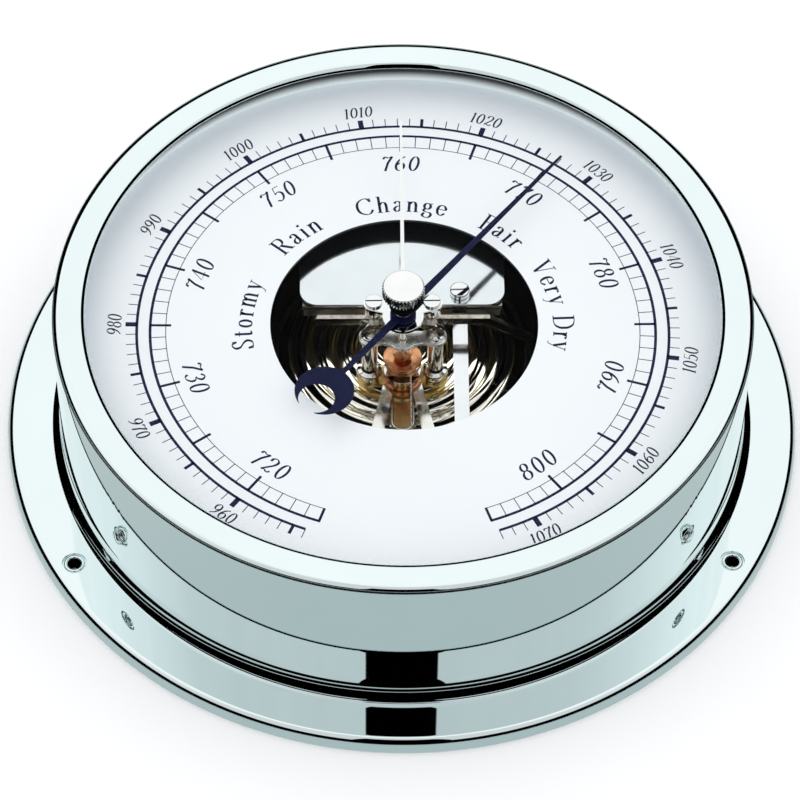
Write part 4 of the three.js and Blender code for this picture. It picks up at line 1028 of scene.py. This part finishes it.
def make_world():
    """White sweep for the camera, even light for matt surfaces, and a tent with a dark skirt for mirrors."""
    world = bpy.data.worlds.new("studio")
    bpy.context.scene.world = world
    world.use_nodes = True
    tree = world.node_tree
    tree.nodes.clear()
    direction = add(tree, "ShaderNodeTexCoord").outputs["Generated"]
    axes = add(tree, "ShaderNodeSeparateXYZ", {0: direction}).outputs
    elevation = math_node(tree, "ARCSINE", axes[2])
    forward = math_node(tree, "MULTIPLY", axes[1], -1.0)
    front = math_node(tree, "ABSOLUTE", math_node(tree, "ARCTAN2", axes[0], forward))
    tent = map_range(tree, elevation, math.radians(35), math.radians(36.5), smooth=True)
    outside = map_range(tree, front, math.radians(12.2), math.radians(12.7), smooth=True)
    over = map_range(tree, elevation, math.radians(66), math.radians(66.6), smooth=True)
    lit = math_node(tree, "MULTIPLY", tent, math_node(tree, "MAXIMUM", outside, over))
    level = map_range(tree, front, math.radians(50), math.radians(130), 0.64, 0.93, smooth=True)
    streaks = map_range(tree, noise(tree, direction, 7.0, 2.0), 0.3, 0.7, 0.96, 1.03)
    lit = math_node(tree, "MULTIPLY", lit, math_node(tree, "MULTIPLY", level, streaks))
    mirrored = mix_colour(tree, lit, (0, 0, 0, 1), (1.2, 1.2, 1.2, 1))
    rays = add(tree, "ShaderNodeLightPath").outputs
    even = mix_colour(tree, rays["Is Glossy Ray"], (1.19, 1.20, 1.21, 1), mirrored)
    seen = mix_colour(tree, rays["Is Camera Ray"], even, (1, 1, 1, 1))
    background = add(tree, "ShaderNodeBackground", {"Color": seen, "Strength": 1.0}).outputs[0]
    add(tree, "ShaderNodeOutputWorld", {"Surface": background})


def make_fill():
    """Small soft light under the main spring, for the corrugations that the dial shades."""
    data = bpy.data.lights.new("fill", "AREA")
    data.shape = "RECTANGLE"
    data.size = 0.036
    data.size_y = 0.0042
    data.energy = 0.0012
    data.color = (1.0, 0.98, 0.93)
    fill = bpy.data.objects.new("fill", data)
    bpy.context.scene.collection.objects.link(fill)
    fill.location = (0, 0.011, 0.0212)


def floor_paper():
    """White paper that chrome mirrors as a painted reflection: a soft grey sweep, black under the case and
    in a belt round it.
    """
    material, tree = blank("floor_paper")
    place_of = add(tree, "ShaderNodeTexCoord").outputs["Object"]
    fibre = noise(tree, place_of, 60.0, 4.0)
    paper = mix_colour(tree, fibre, (0.97, 0.97, 0.975, 1), (0.95, 0.95, 0.955, 1))
    # Painted reflection: mirrors see a grey sweep, lighter to the sides, black under the case and in a belt.
    side = map_range(tree, math_node(tree, "ABSOLUTE", component(tree, place_of, 0)), 0.02, 0.11, smooth=True)
    sweep = mix_colour(tree, side, (0.49, 0.57, 0.575, 1), (0.57, 0.63, 0.63, 1))
    radius = axis_distance(tree, place_of)
    near = math_node(tree, "LESS_THAN", radius, 0.0735)
    beyond = map_range(tree, radius, 0.096, 0.100, smooth=True)
    before = map_range(tree, radius, 0.24, 0.28, 1.0, 0.0, smooth=True)
    belt = math_node(tree, "MULTIPLY", beyond, before)
    sweep = mix_colour(tree, math_node(tree, "MAXIMUM", near, belt), sweep, (0, 0, 0, 1))
    matt = add(tree, "ShaderNodeBsdfDiffuse", {"Color": paper}).outputs[0]
    # Glossy rays see the painted reflection as this emission, other rays the matt paper.
    soft = add(tree, "ShaderNodeEmission", {"Color": sweep, "Strength": 1.0}).outputs[0]
    mirrored = add(tree, "ShaderNodeLightPath").outputs["Is Glossy Ray"]
    surface(tree, add(tree, "ShaderNodeMixShader", {0: mirrored, 1: matt, 2: soft}).outputs[0])
    return material


def make_floor():
    floor = lathe("floor", [(0, -0.5), (4000, -0.5), (4000, 0), (0, 0)], 64)
    floor.data.transform(Matrix.Scale(MM, 4))
    floor.data.materials.append(floor_paper())


def make_camera():
    data = bpy.data.cameras.new("camera")
    data.sensor_width = 36
    data.lens = 181.887
    data.clip_start = 0.01
    camera = bpy.data.objects.new("camera", data)
    bpy.context.scene.collection.objects.link(camera)
    camera.location = (-0.009365, -0.466531, 0.616912)
    aim = Vector((-0.000704, -0.017073, 0.0291)) - camera.location
    roll = Quaternion((0, 0, 1), math.radians(0.7165))
    camera.rotation_mode = "QUATERNION"
    camera.rotation_quaternion = aim.to_track_quat("-Z", "Y") @ roll
    bpy.context.scene.camera = camera


make_case()
make_base()
make_capsule()
make_spring()
make_linkage()
make_bracket()
make_carrier()
make_bridges()
make_arbor()
make_hands()
make_knob()
make_print()
make_world()
make_fill()
make_floor()
make_camera()
bpy.context.scene.view_settings.view_transform = "Standard"
